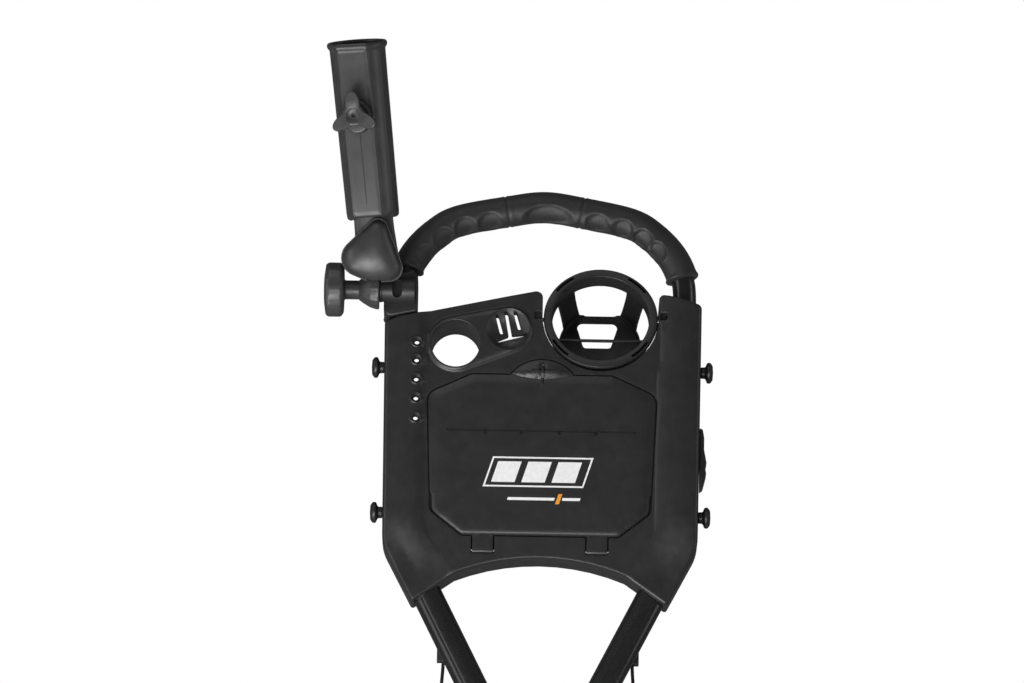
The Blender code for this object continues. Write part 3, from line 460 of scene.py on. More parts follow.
def add_piece(name, bm, material, body, replaces=(), place=Matrix.Identity(4), sharp=38.0):
    bmesh.ops.transform(bm, matrix=to_world() @ place, verts=bm.verts)
    bmesh.ops.recalc_face_normals(bm, faces=bm.faces)
    mesh = bpy.data.meshes.new(name)
    bm.to_mesh(mesh)
    bm.free()
    mesh.shade_smooth()
    mesh.set_sharp_from_angle(angle=math.radians(sharp))
    piece = bpy.data.objects.new(name, mesh)
    bpy.context.scene.collection.objects.link(piece)
    mesh.materials.append(material)
    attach(piece, body)
    if replaces:
        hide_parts(*replaces)
    return piece


def joint_spot(name):
    """Where a joint lies, in the console's millimetres."""
    return Vector(JOINTS[name]["pos_m"]) / MM - DATUM


def turn(angle, axis):
    return Matrix.Rotation(math.radians(angle), 4, axis)


CUP_FRAME = Matrix.Translation(joint_spot("cup_swing")) @ turn(90.0 - CUP_TILT, "X")
SWIVEL_FRAME = Matrix.Translation(joint_spot("umbrella_lean")) @ turn(LEAN, "X")
TILT_FRAME = Matrix.Translation(joint_spot("umbrella_tilt")) @ turn(LEAN, "X") @ turn(-TILT, "Y")
KNOB_FRAME = Matrix.Translation(joint_spot("lean_knob_turn"))
THUMB_FRAME = (Matrix.Translation(joint_spot("thumb_turn")) @ turn(LEAN, "X") @ turn(-TILT, "Y")
               @ turn(-TUBE_TWIST, "Z"))


# ---------------------------------------------------------------- materials

class Recipe:
    """Adds and links the nodes of one material."""

    def __init__(self, name):
        self.material = bpy.data.materials.new(name)
        self.material.use_nodes = True
        self.tree = self.material.node_tree
        self.shader = self.tree.nodes["Principled BSDF"]
        self.place = self.node("ShaderNodeTexCoord").outputs["Object"]

    def node(self, kind, **values):
        made = self.tree.nodes.new(kind)
        for key, value in values.items():
            if key in made.inputs:
                made.inputs[key].default_value = value
            else:
                setattr(made, key, value)
        return made

    def noise(self, scale, detail=3.0, rough=0.55):
        made = self.node("ShaderNodeTexNoise")
        made.inputs["Scale"].default_value = scale
        made.inputs["Detail"].default_value = detail
        made.inputs["Roughness"].default_value = rough
        self.tree.links.new(self.place, made.inputs["Vector"])
        return made.outputs["Fac"]

    def ramp(self, source, stops):
        made = self.node("ShaderNodeValToRGB")
        elements = made.color_ramp.elements
        while len(elements) < len(stops):
            elements.new(0.5)
        for element, (position, value) in zip(elements, stops):
            element.position = position
            element.color = (*value, 1.0) if isinstance(value, tuple) else (value, value, value, 1.0)
        self.tree.links.new(source, made.inputs["Fac"])
        return made.outputs["Color"]

    def drive(self, source, socket):
        self.tree.links.new(source, self.shader.inputs[socket])

    def bump(self, source, strength, distance, under=None):
        made = self.node("ShaderNodeBump")
        made.inputs["Strength"].default_value = strength
        made.inputs["Distance"].default_value = distance
        self.tree.links.new(source, made.inputs["Height"])
        if under:
            self.tree.links.new(under, made.inputs["Normal"])
        return made.outputs["Normal"]

    def set(self, **values):
        for socket, value in values.items():
            self.shader.inputs[socket.replace("_", " ")].default_value = value


def tones(colour, spread):
    return [tuple(channel * share for channel in colour) for share in (1.0 - spread, 1.0, 1.0 + spread)]


def plastic(name, colour, rough, grain, specks=0.0, coat=0.0, spread=0.16):
    """Moulded black plastic: fine grain, uneven sheen and, where handled, pale specks."""
    recipe = Recipe(name)
    dark, middle, light = tones(colour, spread)
    shade = recipe.ramp(recipe.noise(55.0, 4.0), [(0.30, dark), (0.52, middle), (0.74, light)])
    if specks:
        dust = recipe.ramp(recipe.noise(620.0, 2.0), [(0.735, 0.0), (0.765, 1.0)])
        mix = recipe.node("ShaderNodeMix", data_type="RGBA")
        recipe.tree.links.new(dust, mix.inputs["Factor"])
        recipe.tree.links.new(shade, mix.inputs[6])
        mix.inputs[7].default_value = (specks, specks, specks, 1.0)
        shade = mix.outputs[2]
    recipe.drive(shade, "Base Color")
    sheen = recipe.ramp(recipe.noise(130.0, 5.0), [(0.28, rough - 0.06), (0.72, rough + 0.07)])
    recipe.drive(sheen, "Roughness")
    fine = recipe.bump(recipe.noise(2600.0, 2.0), grain, 0.00012)
    recipe.drive(recipe.bump(recipe.noise(700.0, 2.0), grain * 0.35, 0.00025, fine), "Normal")
    recipe.set(Specular_IOR_Level=0.5, IOR=1.49, Coat_Weight=coat, Coat_Roughness=0.25)
    return recipe.material


def paint(name):
    """Gloss black over drawn tube: a clear coat, faint orange peel and dust."""
    recipe = Recipe(name)
    dark, middle, light = tones((0.0085, 0.0085, 0.009), 0.12)
    recipe.drive(recipe.ramp(recipe.noise(40.0), [(0.3, dark), (0.5, middle), (0.75, light)]), "Base Color")
    recipe.drive(recipe.ramp(recipe.noise(220.0), [(0.3, 0.22), (0.7, 0.31)]), "Roughness")
    recipe.drive(recipe.bump(recipe.noise(260.0, 2.0), 0.03, 0.0002), "Normal")
    recipe.set(Coat_Weight=0.35, Coat_Roughness=0.12, IOR=1.5)
    return recipe.material


def soft_grip(name):
    """Skinned foam rubber: matt, with tiny pores and a dull bloom."""
    recipe = Recipe(name)
    dark, middle, light = tones((0.0185, 0.0185, 0.019), 0.2)
    shade = recipe.ramp(recipe.noise(70.0, 5.0), [(0.3, dark), (0.5, middle), (0.72, light)])
    recipe.drive(shade, "Base Color")
    recipe.drive(recipe.ramp(recipe.noise(180.0, 4.0), [(0.3, 0.47), (0.7, 0.60)]), "Roughness")
    pores = recipe.node("ShaderNodeTexVoronoi")
    pores.inputs["Scale"].default_value = 1500.0
    recipe.tree.links.new(recipe.place, pores.inputs["Vector"])
    fine = recipe.bump(pores.outputs["Distance"], 0.16, 0.00015)
    recipe.drive(recipe.bump(recipe.noise(380.0, 3.0), 0.10, 0.0003, fine), "Normal")
    recipe.set(Specular_IOR_Level=0.5, Sheen_Weight=0.12, Sheen_Roughness=0.4)
    return recipe.material


def steel(name):
    """Zinc plate: cloudy, with fine drawn lines."""
    recipe = Recipe(name)
    cloud = [(0.3, (0.36, 0.36, 0.37)), (0.7, (0.55, 0.55, 0.56))]
    recipe.drive(recipe.ramp(recipe.noise(160.0, 4.0), cloud), "Base Color")
    recipe.drive(recipe.ramp(recipe.noise(500.0, 3.0), [(0.3, 0.26), (0.7, 0.42)]), "Roughness")
    recipe.drive(recipe.bump(recipe.noise(1800.0, 2.0), 0.12, 0.0001), "Normal")
    recipe.set(Metallic=1.0)
    return recipe.material


def ink(name, colour):
    recipe = Recipe(name)
    dark, middle, light = tones(colour, 0.06)
    shade = recipe.ramp(recipe.noise(300.0, 4.0), [(0.3, dark), (0.5, middle), (0.7, light)])
    recipe.drive(shade, "Base Color")
    recipe.drive(recipe.ramp(recipe.noise(900.0, 2.0), [(0.3, 0.42), (0.7, 0.52)]), "Roughness")
    return recipe.material


SHELL = plastic("moulded_black", (0.0190, 0.0190, 0.0195), 0.36, 0.24)
RIM = plastic("moulded_black_rim", (0.0150, 0.0150, 0.0155), 0.36, 0.20)
SATIN = plastic("satin_black", (0.040, 0.040, 0.0405), 0.36, 0.16, specks=0.16, coat=0.10, spread=0.22)
CRISP = plastic("clamp_black", (0.018, 0.018, 0.0185), 0.42, 0.20)
GLOSS = paint("tube_paint")
GRIP = soft_grip("grip_rubber")
ZINC = steel("zinc_plate")
# Cup cage plastic, darker than the shell: partly its own black, partly painted shade for the inside of the
# cup.
CAGE_AND_SHADE = plastic("cage_black_and_painted_shade", (0.0085, 0.0085, 0.009), 0.46, 0.20)
# Painted shade: a near-black, rougher plastic for faces that are dark only from shade, the inside of the
# umbrella tube and the floors of the snap pockets.
PAINTED_SHADE = plastic("bore_painted_shade", (0.004, 0.004, 0.004), 0.60, 0.20)
WHITE = ink("white_ink", (0.80, 0.80, 0.80))
ORANGE = ink("orange_ink", (0.75, 0.30, 0.03))


# ---------------------------------------------------------------- console

def console_outline():
    """The console seen from the front, counter-clockwise."""
    cup = joint_spot("cup_swing")
    cup_x, cup_z = cup.x, cup.z
    spread = math.degrees(math.asin(ARC_END[0] / ARC_RADIUS))
    middle = (0.0, ARC_END[1] - ARC_RADIUS * math.cos(math.radians(spread)))
    bottom = arc(middle, ARC_RADIUS, 90.0 + spread, 90.0 - spread, 60)
    left = rounded([(-30.0, 125.7, 0), (-HALF_TOP, 101.0, 5), (-HALF_BOTTOM, SIDE_CORNER, 40),
                    (-TIP[0], TIP[1], 2.5), (-ARC_END[0], ARC_END[1], 0)])
    right = rounded([(ARC_END[0], ARC_END[1], 0), (TIP[0], TIP[1], 2.5),
                     (HALF_BOTTOM, SIDE_CORNER, 40), (HALF_TOP, 120.0, 5),
                     (cup_x + CUP_CLEAR, 129.5, 4), (cup_x + CUP_CLEAR, cup_z, 0)])
    ring = [(cup_x + CUP_CLEAR * x, cup_z + CUP_SINK * z) for x, z in arc((0.0, 0.0), 1.0, 0.0, -180.0, 90)]
    top = rounded([(cup_x - CUP_CLEAR, cup_z, 0), (cup_x - CUP_CLEAR, 131.8, 6), (-30.0, 125.7, 0)])
    return left[1:-1] + bottom[:-1] + right[:-1] + ring[:-1] + top[:-1] + [(-30.0, 125.7)]


def lid_outline(hinges=True):
    """The lid with its finger tab above and its two hinge tabs below."""
    foot = [(0.0, LID_BOTTOM, 0)]
    if hinges:
        foot += [(HINGE_X - HINGE_HALF, LID_BOTTOM, 1.4), (HINGE_X - HINGE_HALF, HINGE_LOW, 1.0),
                 (HINGE_X + HINGE_HALF, HINGE_LOW, 1.0), (HINGE_X + HINGE_HALF, LID_BOTTOM, 1.4)]
    side = rounded(foot + [(70.0, LID_BOTTOM, 6), (98.5, -76.0, 9), (103.0, 33.0, 12),
                           (63.0, LID_TOP, 6), (0.0, LID_TOP, 0)], 6)[:-1]
    radius = (TAB_HALF ** 2 + TAB_RISE ** 2) / (2.0 * TAB_RISE)
    low = math.degrees(math.asin((radius - TAB_RISE) / radius))
    tab = arc((0.0, LID_TOP + TAB_RISE - radius), radius, low, 180.0 - low, 24)
    return side + tab + mirrored(side)[:-1]


def pod_outline(side):
    """The rounded cover over one tube."""
    cup = joint_spot("cup_swing")
    low = [(TIP[0] + 6.0, TIP[1] - 12.0, 0), (HALF_BOTTOM + 12.0, SIDE_CORNER, 40)]
    if side > 0:
        high = [(HALF_TOP + 12.0, 140.0, 5), (cup.x + CUP_CLEAR + 1.0, 140.0, 3),
                (cup.x + CUP_CLEAR + 1.0, 66.0, 5), (POD_INNER, 56.0, 5)]
    else:
        high = [(HALF_TOP + 12.0, 120.0, 5), (POD_INNER, 120.0, 3)]
    foot = [(ARC_END[0] - 2.0, ARC_END[1] - 4.0, 2)]
    outline = rounded(foot + low + high + [(POD_INNER - 1.0, -95.0, 20)])
    return outline if side > 0 else mirrored(outline)


def snap_recess(side):
    """A small pocket beside the cup ring, where its pin snaps in."""
    cup = joint_spot("cup_swing")
    near = cup.x + side * (CUP_CLEAR + 1.3)
    far = cup.x + side * (CUP_CLEAR + 7.4)
    low, high = sorted((near, far))
    return rounded([(low, cup.z - 2.6, 0.8), (high, cup.z - 2.6, 0.8),
                    (high, cup.z + 4.2, 0.8), (low, cup.z + 4.2, 0.8)], 3)


def dish_slots():
    lines = [((-41.4, 105.9), (-37.5, 91.8)), ((-25.2, 109.0), (-21.4, 95.9))]
    cross = ((-40.1, 83.3), (-15.9, 89.4))
    stem_low = (-29.1, 87.6)
    slots = [sampled(capsule(a, b, 3.0, 6), 2.0) for a, b in lines]
    slots.append(joined_slots(cross, stem_low, (-33.3, 108.9), 3.0))
    return slots


def joined_slots(cross, foot, tip, width):
    """One outline for a slot that stands on a cross slot."""
    start, end = (Vector(point) for point in cross)
    along = (end - start).normalized()
    across = Vector((-along.y, along.x))
    up = (Vector(tip) - Vector(foot)).normalized()
    side = Vector((up.y, -up.x))
    half = width / 2.0
    heading = math.degrees(math.atan2(along.y, along.x))
    rise = math.degrees(math.atan2(up.y, up.x))
    root = Vector(foot) + across * half
    outline = arc(end, half, heading - 90.0, heading + 90.0, 6)
    outline += [tuple(root + side * (half + 0.6)), tuple(root + side * half + up * 0.8)]
    outline += arc(tip, half, rise - 90.0, rise + 90.0, 6)
    outline += [tuple(root - side * half + up * 0.8), tuple(root - side * (half + 0.6))]
    outline += arc(start, half, heading + 90.0, heading + 270.0, 6)
    return outline


def console_relief(shapes):
    """Height of the console's face over any point, with every edge rounded off."""
    island = two_circle_hull(BALL, 26.2, DISH, 21.9, 40)
    pods = [(side, pod_outline(side)) for side in (-1, 1)]
    sphere = (DISH_RADIUS ** 2 + DISH_DEPTH ** 2) / (2.0 * DISH_DEPTH)

    def height(points):
        x, z = np.asarray(points, float).T
        y = np.zeros(len(x))
        for side, outline in pods:
            inside = depth_inside(points, outline)
            hump = np.clip(1.0 - ((side * x - 123.0) / 22.0) ** 2, 0.0, 1.0)
            low = ease((-74.0 - z) / 58.0)
            crown = POD_CROWN * hump * ease(inside / 9.0)
            y -= ease(inside / 1.8) * (POD_RISE + crown) * (1.0 - low)
            y += 0.13 * np.clip(inside, 0.0, 40.0) * low
        rise = depth_inside(points, island)
        y -= ISLAND_RISE * np.clip(rise / 2.9 + 0.04, 0.0, 1.0) ** 0.85
        away = np.hypot(x - DISH[0], z - DISH[1])
        bowl = -ISLAND_RISE - sphere + DISH_DEPTH + np.sqrt(np.maximum(sphere ** 2 - away ** 2, 0.0))
        y = np.where(away < DISH_RADIUS, bowl, y)
        for level in TEE_LEVELS:
            ring = np.hypot(x - TEE_X, z - level)
            y -= 1.3 * np.exp(-((ring - 5.0) / 0.7) ** 2)
            y += 1.4 * ease((4.2 - ring) / 1.5)
        for index, (outline, radius) in enumerate(shapes):
            depth = depth_inside(points, outline)
            if index == 0:
                low = ease((-z - 96.0) / 12.0) * (0.5 + 0.5 * ease((np.abs(x) - 76.0) / 10.0))
                turn_in = np.maximum(ease((np.abs(x) - 130.0) / 8.0), low)
                y += lip(depth, 0.8 + (radius - 0.8) * turn_in)
            else:
                y += lip(-depth, radius)
        return y

    return height, island, [outline for _, outline in pods]


def build_console_front():
    edge = sampled(console_outline(), 2.0)
    ball = circle(BALL, BALL_RADIUS, 96)
    opening = sampled(shifted(lid_outline(), LID_GAP), 2.0)
    tees = [circle((TEE_X, level), 2.3, 20) for level in TEE_LEVELS]
    slots = dish_slots()
    snaps = [snap_recess(side) for side in (-1, 1)]
    shapes = [(edge, EDGE_RADIUS), (ball, 0.9), (opening, 0.5)]
    shapes += [(outline, 0.4) for outline in slots + tees + snaps]
    height, island, pods = console_relief(shapes)
    creases = [(island, 1.7), (circle(DISH, DISH_RADIUS, 80), 0.5)] + [(pod, 1.0) for pod in pods]
    creases += [(circle((TEE_X, level), 4.8, 40), 1.1) for level in TEE_LEVELS]
    bm = bmesh.new()
    loops = [ring_at(bm, outline, height) for outline, _ in shapes]
    skin(bm, loops, sown(shapes, creases, 4.0), height)
    back = SPLIT - SEAM
    edge_loop = wall_to(bm, loops[0], back, 3)
    inner_line = inset(console_outline(), SIDE_WALL)
    inner = ring_at(bm, inner_line, back)
    skin(bm, [edge_loop, inner])
    inner = wall_to(bm, inner, WALL)
    ball_back = wall_to(bm, loops[1], BALL_BACK, 4)
    sleeve = ring_at(bm, circle(BALL, BALL_SLEEVE, 96), BALL_BACK)
    wall(bm, ball_back, sleeve)
    sleeve = wall_to(bm, sleeve, WALL, 2)
    puck_front = ring_at(bm, circle(DISH, PUCK_RADIUS, 60), WALL)
    puck = wall_to(bm, puck_front, PUCK_BACK)
    slot_backs = [wall_to(bm, loop, PUCK_BACK) for loop in loops[3:3 + len(slots)]]
    skin(bm, [puck] + slot_backs)
    through = [wall_to(bm, loop, WALL) for loop in [loops[2]] + loops[3 + len(slots):-2]]
    skin(bm, [inner, sleeve, puck_front] + through)
    # The snap pockets' floors use slot 1, the painted-shade black: painted shade at the bottoms of the
    # pockets.
    for loop in loops[-2:]:
        floor = wall_to(bm, loop, WALL - 0.4)
        bm.faces.new(floor).material_index = 1
    piece = add_piece("console_face", bm, SHELL, "cart_head", ["console_front"])
    piece.data.materials.append(PAINTED_SHADE)


def lid_relief(edge):
    """Height of the lid's face: crowned, grooved, with a bulging finger tab and a cross rib."""
    body = rounded([(0.0, LID_BOTTOM - 60.0, 0), (98.5, LID_BOTTOM - 60.0, 0), (98.5, -76.0, 9),
                    (103.0, 33.0, 12), (63.0, LID_TOP, 6), (0.0, LID_TOP, 0)], 6)[:-1]
    crown = body + mirrored(body)[:-1]
    foot = lid_outline(hinges=False)
    drop = 6.5
    lower_radius = (TAB_HALF ** 2 + drop ** 2) / (2.0 * drop)
    upper_radius = (TAB_HALF ** 2 + TAB_RISE ** 2) / (2.0 * TAB_RISE)

    def height(points):
        x, z = np.asarray(points, float).T
        y = np.full(len(x), LID_FRONT)
        y += 2.1 * (1.0 - np.clip(depth_inside(points, crown) / 8.5, 0.0, 1.0))
        y += 0.8 * (1.0 - ease((101.0 - np.abs(x)) / 22.0))
        low = lower_radius - np.hypot(x, z - (LID_TOP - drop + lower_radius))
        high = upper_radius - np.hypot(x, z - (LID_TOP + TAB_RISE - upper_radius))
        under = np.sin(np.clip(low / 10.0, 0.0, 1.0) * math.pi / 2.0)
        over = 0.3 + 0.7 * ease(high / 12.0)
        blend = np.log(np.exp(-TAB_SOFT * under) + np.exp(-TAB_SOFT * over)) / -TAB_SOFT
        tab_face = 0.6 - 5.3 * blend
        y = np.where(z > LID_TOP, tab_face, np.where(low > 0.0, np.minimum(y, tab_face), y))
        bar = 1.5 - np.hypot(x, z - np.clip(z, 42.5, 60.0))
        y -= 2.0 * ease(bar / 1.0)
        y += 0.8 * ease((bar + 1.0) / 0.5) * (bar < 0.0) * (z > 50.0)
        slit = 0.55 - np.hypot(x - np.clip(x, -9.4, 9.4), z - 55.6)
        y += 1.0 * ease(slit / 0.5) * (bar < 0.0)
        groove = 1.25 - np.hypot(x - np.clip(x, -GROOVE_HALF, GROOVE_HALF), z - GROOVE_Z)
        y += 1.5 * ease(groove / 0.9)
        for bump in BUMPS:
            pip = 2.6 - np.hypot(x - bump, z - GROOVE_Z + 1.6)
            y += 1.3 * ease(pip / 1.3) * (groove < 0.0) * (z < GROOVE_Z)
        below = depth_inside(points, foot)
        y += np.where(z < -60.0, 0.85 * lip(below - 0.1, 4.2), 0.0)
        y = np.where(below < 0.0, 0.55, y)
        y += lip(depth_inside(points, edge), 0.7)
        return y

    return height, crown


def build_lid():
    edge = sampled(lid_outline(), 1.6)
    height, crown = lid_relief(edge)
    groove = capsule((-GROOVE_HALF, GROOVE_Z), (GROOVE_HALF, GROOVE_Z), 2.4)
    rib = capsule((0.0, 43.6), (0.0, 59.2), 3.0)
    slit = capsule((-9.4, 55.6), (9.4, 55.6), 1.1)
    seam = [(28.0, LID_TOP), (16.0, 47.6), (0.0, 45.0), (-16.0, 47.6), (-28.0, LID_TOP), (0.0, 64.0)]
    pips = [circle((bump, GROOVE_Z - 1.6), 2.2, 16) for bump in BUMPS]
    foot = lid_outline(hinges=False)
    creases = [(groove, 0.5), (rib, 0.55), (slit, 0.35), (seam, 1.6), (shifted(foot, -1.4), 1.1),
               (foot, 0.2)] + [(pip, 0.5) for pip in pips]
    bm = bmesh.new()
    front = ring_at(bm, edge, height)
    skin(bm, [front], sown([(edge, 0.7)], creases, 3.0), height)
    back = wall_to(bm, front, LID_BACK - 0.3, 2)
    rim = ring_at(bm, shifted(edge, -0.3), LID_BACK)
    wall(bm, back, rim)
    pocket_line = inset(lid_outline(hinges=False), 3.0)
    pocket = ring_at(bm, pocket_line, LID_BACK)
    skin(bm, [rim, pocket])
    floor = wall_to(bm, pocket, 0.8)
    skin(bm, [floor])
    z_axis = joint_spot("lid_hinge")
    for side in (-1, 1):
        knuckle = bmesh.new()
        corners = [(0.0, -HINGE_HALF), (3.4, -HINGE_HALF), (3.4, HINGE_HALF), (0.0, HINGE_HALF)]
        profile = softened(corners, 0.6)
        turned(knuckle, profile, 24)
        place = Matrix.Translation((side * HINGE_X, z_axis.y, z_axis.z)) @ turn(90.0, "Y")
        absorb(bm, knuckle, place)
    return add_piece("lid_cover", bm, SHELL, "lid", ["lid_panel"])


def slanted(left, right, low, high, lean=0.32):
    """A parallelogram that leans to the right, from its foot's two ends."""
    rise = (high - low) * lean
    return [(left, low), (right, low), (right + rise, high), (left + rise, high)]


def build_lid_mark():
    """A plain printed mark: a slanted frame with three bars, and a rule with an accent."""
    bm = bmesh.new()
    front = LID_FRONT - 0.12
    outer = slanted(-52.0, 38.0, -54.0, -26.0)
    inner = shifted(outer, -1.5)
    near = ring_at(bm, outer, front)
    hole = ring_at(bm, inner, front)
    wall(bm, near, hole)
    outer_back = wall_to(bm, near, LID_FRONT + 0.1)
    inner_back = wall_to(bm, hole, LID_FRONT + 0.1)
    wall(bm, outer_back, inner_back)
    bars = [slanted(x, x + 21.0, -49.6, -30.4) for x in (-44.5, -17.5, 9.5)]
    bars += [slanted(-30.0, 12.0, -66.2, -63.6), slanted(19.0, 35.0, -66.2, -63.6)]
    for outline in bars:
        bands(bm, [[(x, y, z) for x, z in outline] for y in (front, LID_FRONT + 0.1)], True)
    add_piece("lid_mark", bm, WHITE, "lid")
    bm = bmesh.new()
    outline = slanted(13.0, 16.5, -69.5, -60.0)
    bands(bm, [[(x, y, z) for x, z in outline] for y in (front, LID_FRONT + 0.1)], True)
    add_piece("lid_mark_accent", bm, ORANGE, "lid")


def absorb(bm, other, place=Matrix.Identity(4)):
    """Put another solid into bm, moved by place."""
    bmesh.ops.transform(other, matrix=place, verts=other.verts)
    mesh = bpy.data.meshes.new("absorbed")
    other.to_mesh(mesh)
    other.free()
    bm.from_mesh(mesh)
    bpy.data.meshes.remove(mesh)


# ---------------------------------------------------------------- handle

class Section:
    """A round section whose radius a function of (index, angle) may change."""

    def __init__(self, sides, radius, deep=None):
        self.sides = sides
        self.radius = radius if callable(radius) else lambda index, angle: radius
        self.flatten = 1.0 if deep is None else deep

    def __call__(self, index, angle):
        reach = self.radius(index, angle)
        return (reach * math.cos(math.radians(angle)),
                reach * math.sin(math.radians(angle)) * self.flatten)


def handle_path(steps):
    half = [(0.0, 214.6), (34.0, 209.8), (77.0, 200.6), (97.8, 188.4), (115.6, 169.4),
            (125.6, 147.0), (TUBE_X, 122.0), (TUBE_X, 95.0)]
    points = [(-x, TUBE_Y, z) for x, z in reversed(half[1:])]
    points += [(x, TUBE_Y, z) for x, z in half]
    return smooth_path(points, steps)


def build_handle_tube():
    path = handle_path(12)
    low = [Vector((-TUBE_X, TUBE_Y, z)) for z in (-80.0, -30.0, 40.0)]
    path = low + path + [Vector((-co.x, co.y, co.z)) for co in reversed(low)]
    bm = bmesh.new()
    swept(bm, path, Section(40, TUBE_RADIUS))
    add_piece("loop_tube", bm, GLOSS, "cart_head", ["handle_tube"])


def build_grip(name, first, last):
    """One soft sleeve, scooped underneath for the fingers, with rolled ends."""
    fine = 20
    loop = handle_path(fine)
    path = loop[first * fine // 4:last * fine // 4 + 1]
    travel = np.concatenate([[0.0], np.cumsum([(b - a).length for a, b in zip(path, path[1:])])])
    spots = [travel[int(np.argmin([abs(point.x - x) for point in path]))] for x in FINGERS[name]]
    half = FINGER_HALF[name]
    whole = travel[-1]

    def radius(index, angle):
        here = travel[index]
        around = (angle - 180.0 - SCOOP_TURN + 180.0) % 360.0 - 180.0
        reach = GRIP_RADIUS
        for spot in spots:
            off = ((here - spot) / half) ** 2 + (around / SCOOP_SPAN) ** 2
            reach -= SCOOP_DEPTH * float(ease((1.0 - off) * 2.2)) * (1.0 - 0.35 * min(off, 1.0))
            reach += 0.35 * math.exp(-((off - 1.12) / 0.16) ** 2)
        near_tube = whole - here if name == "grip_right" else here
        if name != "grip_centre":
            reach += 0.9 * math.exp(-((near_tube - 2.6) / 1.9) ** 2)
            reach -= float(lip(np.array(near_tube), 1.6))
        seam = min(here, whole - here)
        reach += 0.25 * math.exp(-((seam - 1.8) / 1.5) ** 2) - 0.7 * float(lip(np.array(seam), 0.8))
        return reach

    bm = bmesh.new()
    outer = swept(bm, path, Section(72, radius), closed_ends=False)
    bore = swept(bm, path, Section(72, TUBE_RADIUS + 0.15), closed_ends=False)
    wall(bm, outer[0], bore[0])
    wall(bm, outer[-1], bore[-1])
    add_piece(name + "_sleeve", bm, GRIP, "cart_head", [name])


def build_lower_tube(side, label):
    """An oval tube with two shallow grooves drawn along each face."""
    ends = []
    for x in (120.0, 22.0):
        drop = (LOWER_START[0] - x) * LOWER_SLOPE
        ends.append(Vector((side * x, TUBE_Y, LOWER_START[1] - drop)))
    start, end = ends
    path = [start.lerp(end, step / 12) for step in range(13)]

    def radius(index, angle):
        bump = 0.0
        for groove in (62.0, 118.0, 242.0, 298.0):
            bump -= 0.45 * math.exp(-((angle - groove) / 4.0) ** 2)
        return LOWER_HALF_WIDTH + bump

    bm = bmesh.new()
    swept(bm, path, Section(120, radius, 10.8 / 13.4))
    add_piece("leg_tube_" + label, bm, GLOSS, "cart_head", ["lower_tube_" + label])


# ---------------------------------------------------------------- cup holder

def build_cup_ring():
    """A flared band: four slots in its lip, and a thin rib across its near side."""
    profile = softened([(CUP_INNER, CUP_LIP - CUP_BAND), (CUP_INNER, CUP_LIP), (CUP_OUTER, CUP_LIP),
                        (CUP_OUTER, CUP_LIP - 4.0), (49.4, CUP_LIP - 6.0), (47.6, CUP_LIP - CUP_BAND)],
                       1.1, closed=True)
    bm = bmesh.new()
    steps = 180
    loops = []
    for radius, height in profile:
        loops.append([bm.verts.new((x, y, height)) for x, y in circle((0.0, 0.0), radius, steps)])
    for low, high in zip(loops, loops[1:] + loops[:1]):
        wall(bm, low, high)
    slots = []
    for angle in (47.0, 133.0, 221.0, 318.0):
        tool = bmesh.new()
        outline = arc((0.0, 0.0), 49.9, angle - 12.5, angle + 12.5, 16)
        outline += arc((0.0, 0.0), 47.3, angle + 12.5, angle - 12.5, 16)
        bands(tool, [[(x, y, h) for x, y in outline] for h in (CUP_LIP - 5.0, CUP_LIP + 2.0)], True)
        slots.append(tool)
    bm = cut(bm, slots)
    rib = bmesh.new()
    section = rounded([(-14.8, -14.1, 0.7), (-12.2, -14.1, 0.7), (-12.2, -11.7, 0.7),
                       (-14.8, -11.7, 0.7)], 4)
    bands(rib, [[(x, y, h) for y, h in section] for x in (-42.2, 42.2)], True)
    absorb(bm, rib)
    add_piece("cup_band", bm, RIM, "cup_holder", ["cup_ring"], CUP_FRAME)


def cut(bm, tools, operation="DIFFERENCE"):
    """Boolean tools out of a solid and give back the result."""
    def object_of(source):
        bmesh.ops.recalc_face_normals(source, faces=source.faces)
        mesh = bpy.data.meshes.new("solid")
        source.to_mesh(mesh)
        source.free()
        solid = bpy.data.objects.new("solid", mesh)
        bpy.context.scene.collection.objects.link(solid)
        return solid

    body = object_of(bm)
    spent = [body]
    for tool in tools:
        solid = object_of(tool)
        spent.append(solid)
        step = body.modifiers.new("step", "BOOLEAN")
        step.operation = operation
        step.object = solid
    mesh = bpy.data.meshes.new_from_object(body.evaluated_get(bpy.context.evaluated_depsgraph_get()))
    for solid in spent:
        bpy.data.objects.remove(solid)
    result = bmesh.new()
    result.from_mesh(mesh)
    bpy.data.meshes.remove(mesh)
    return result


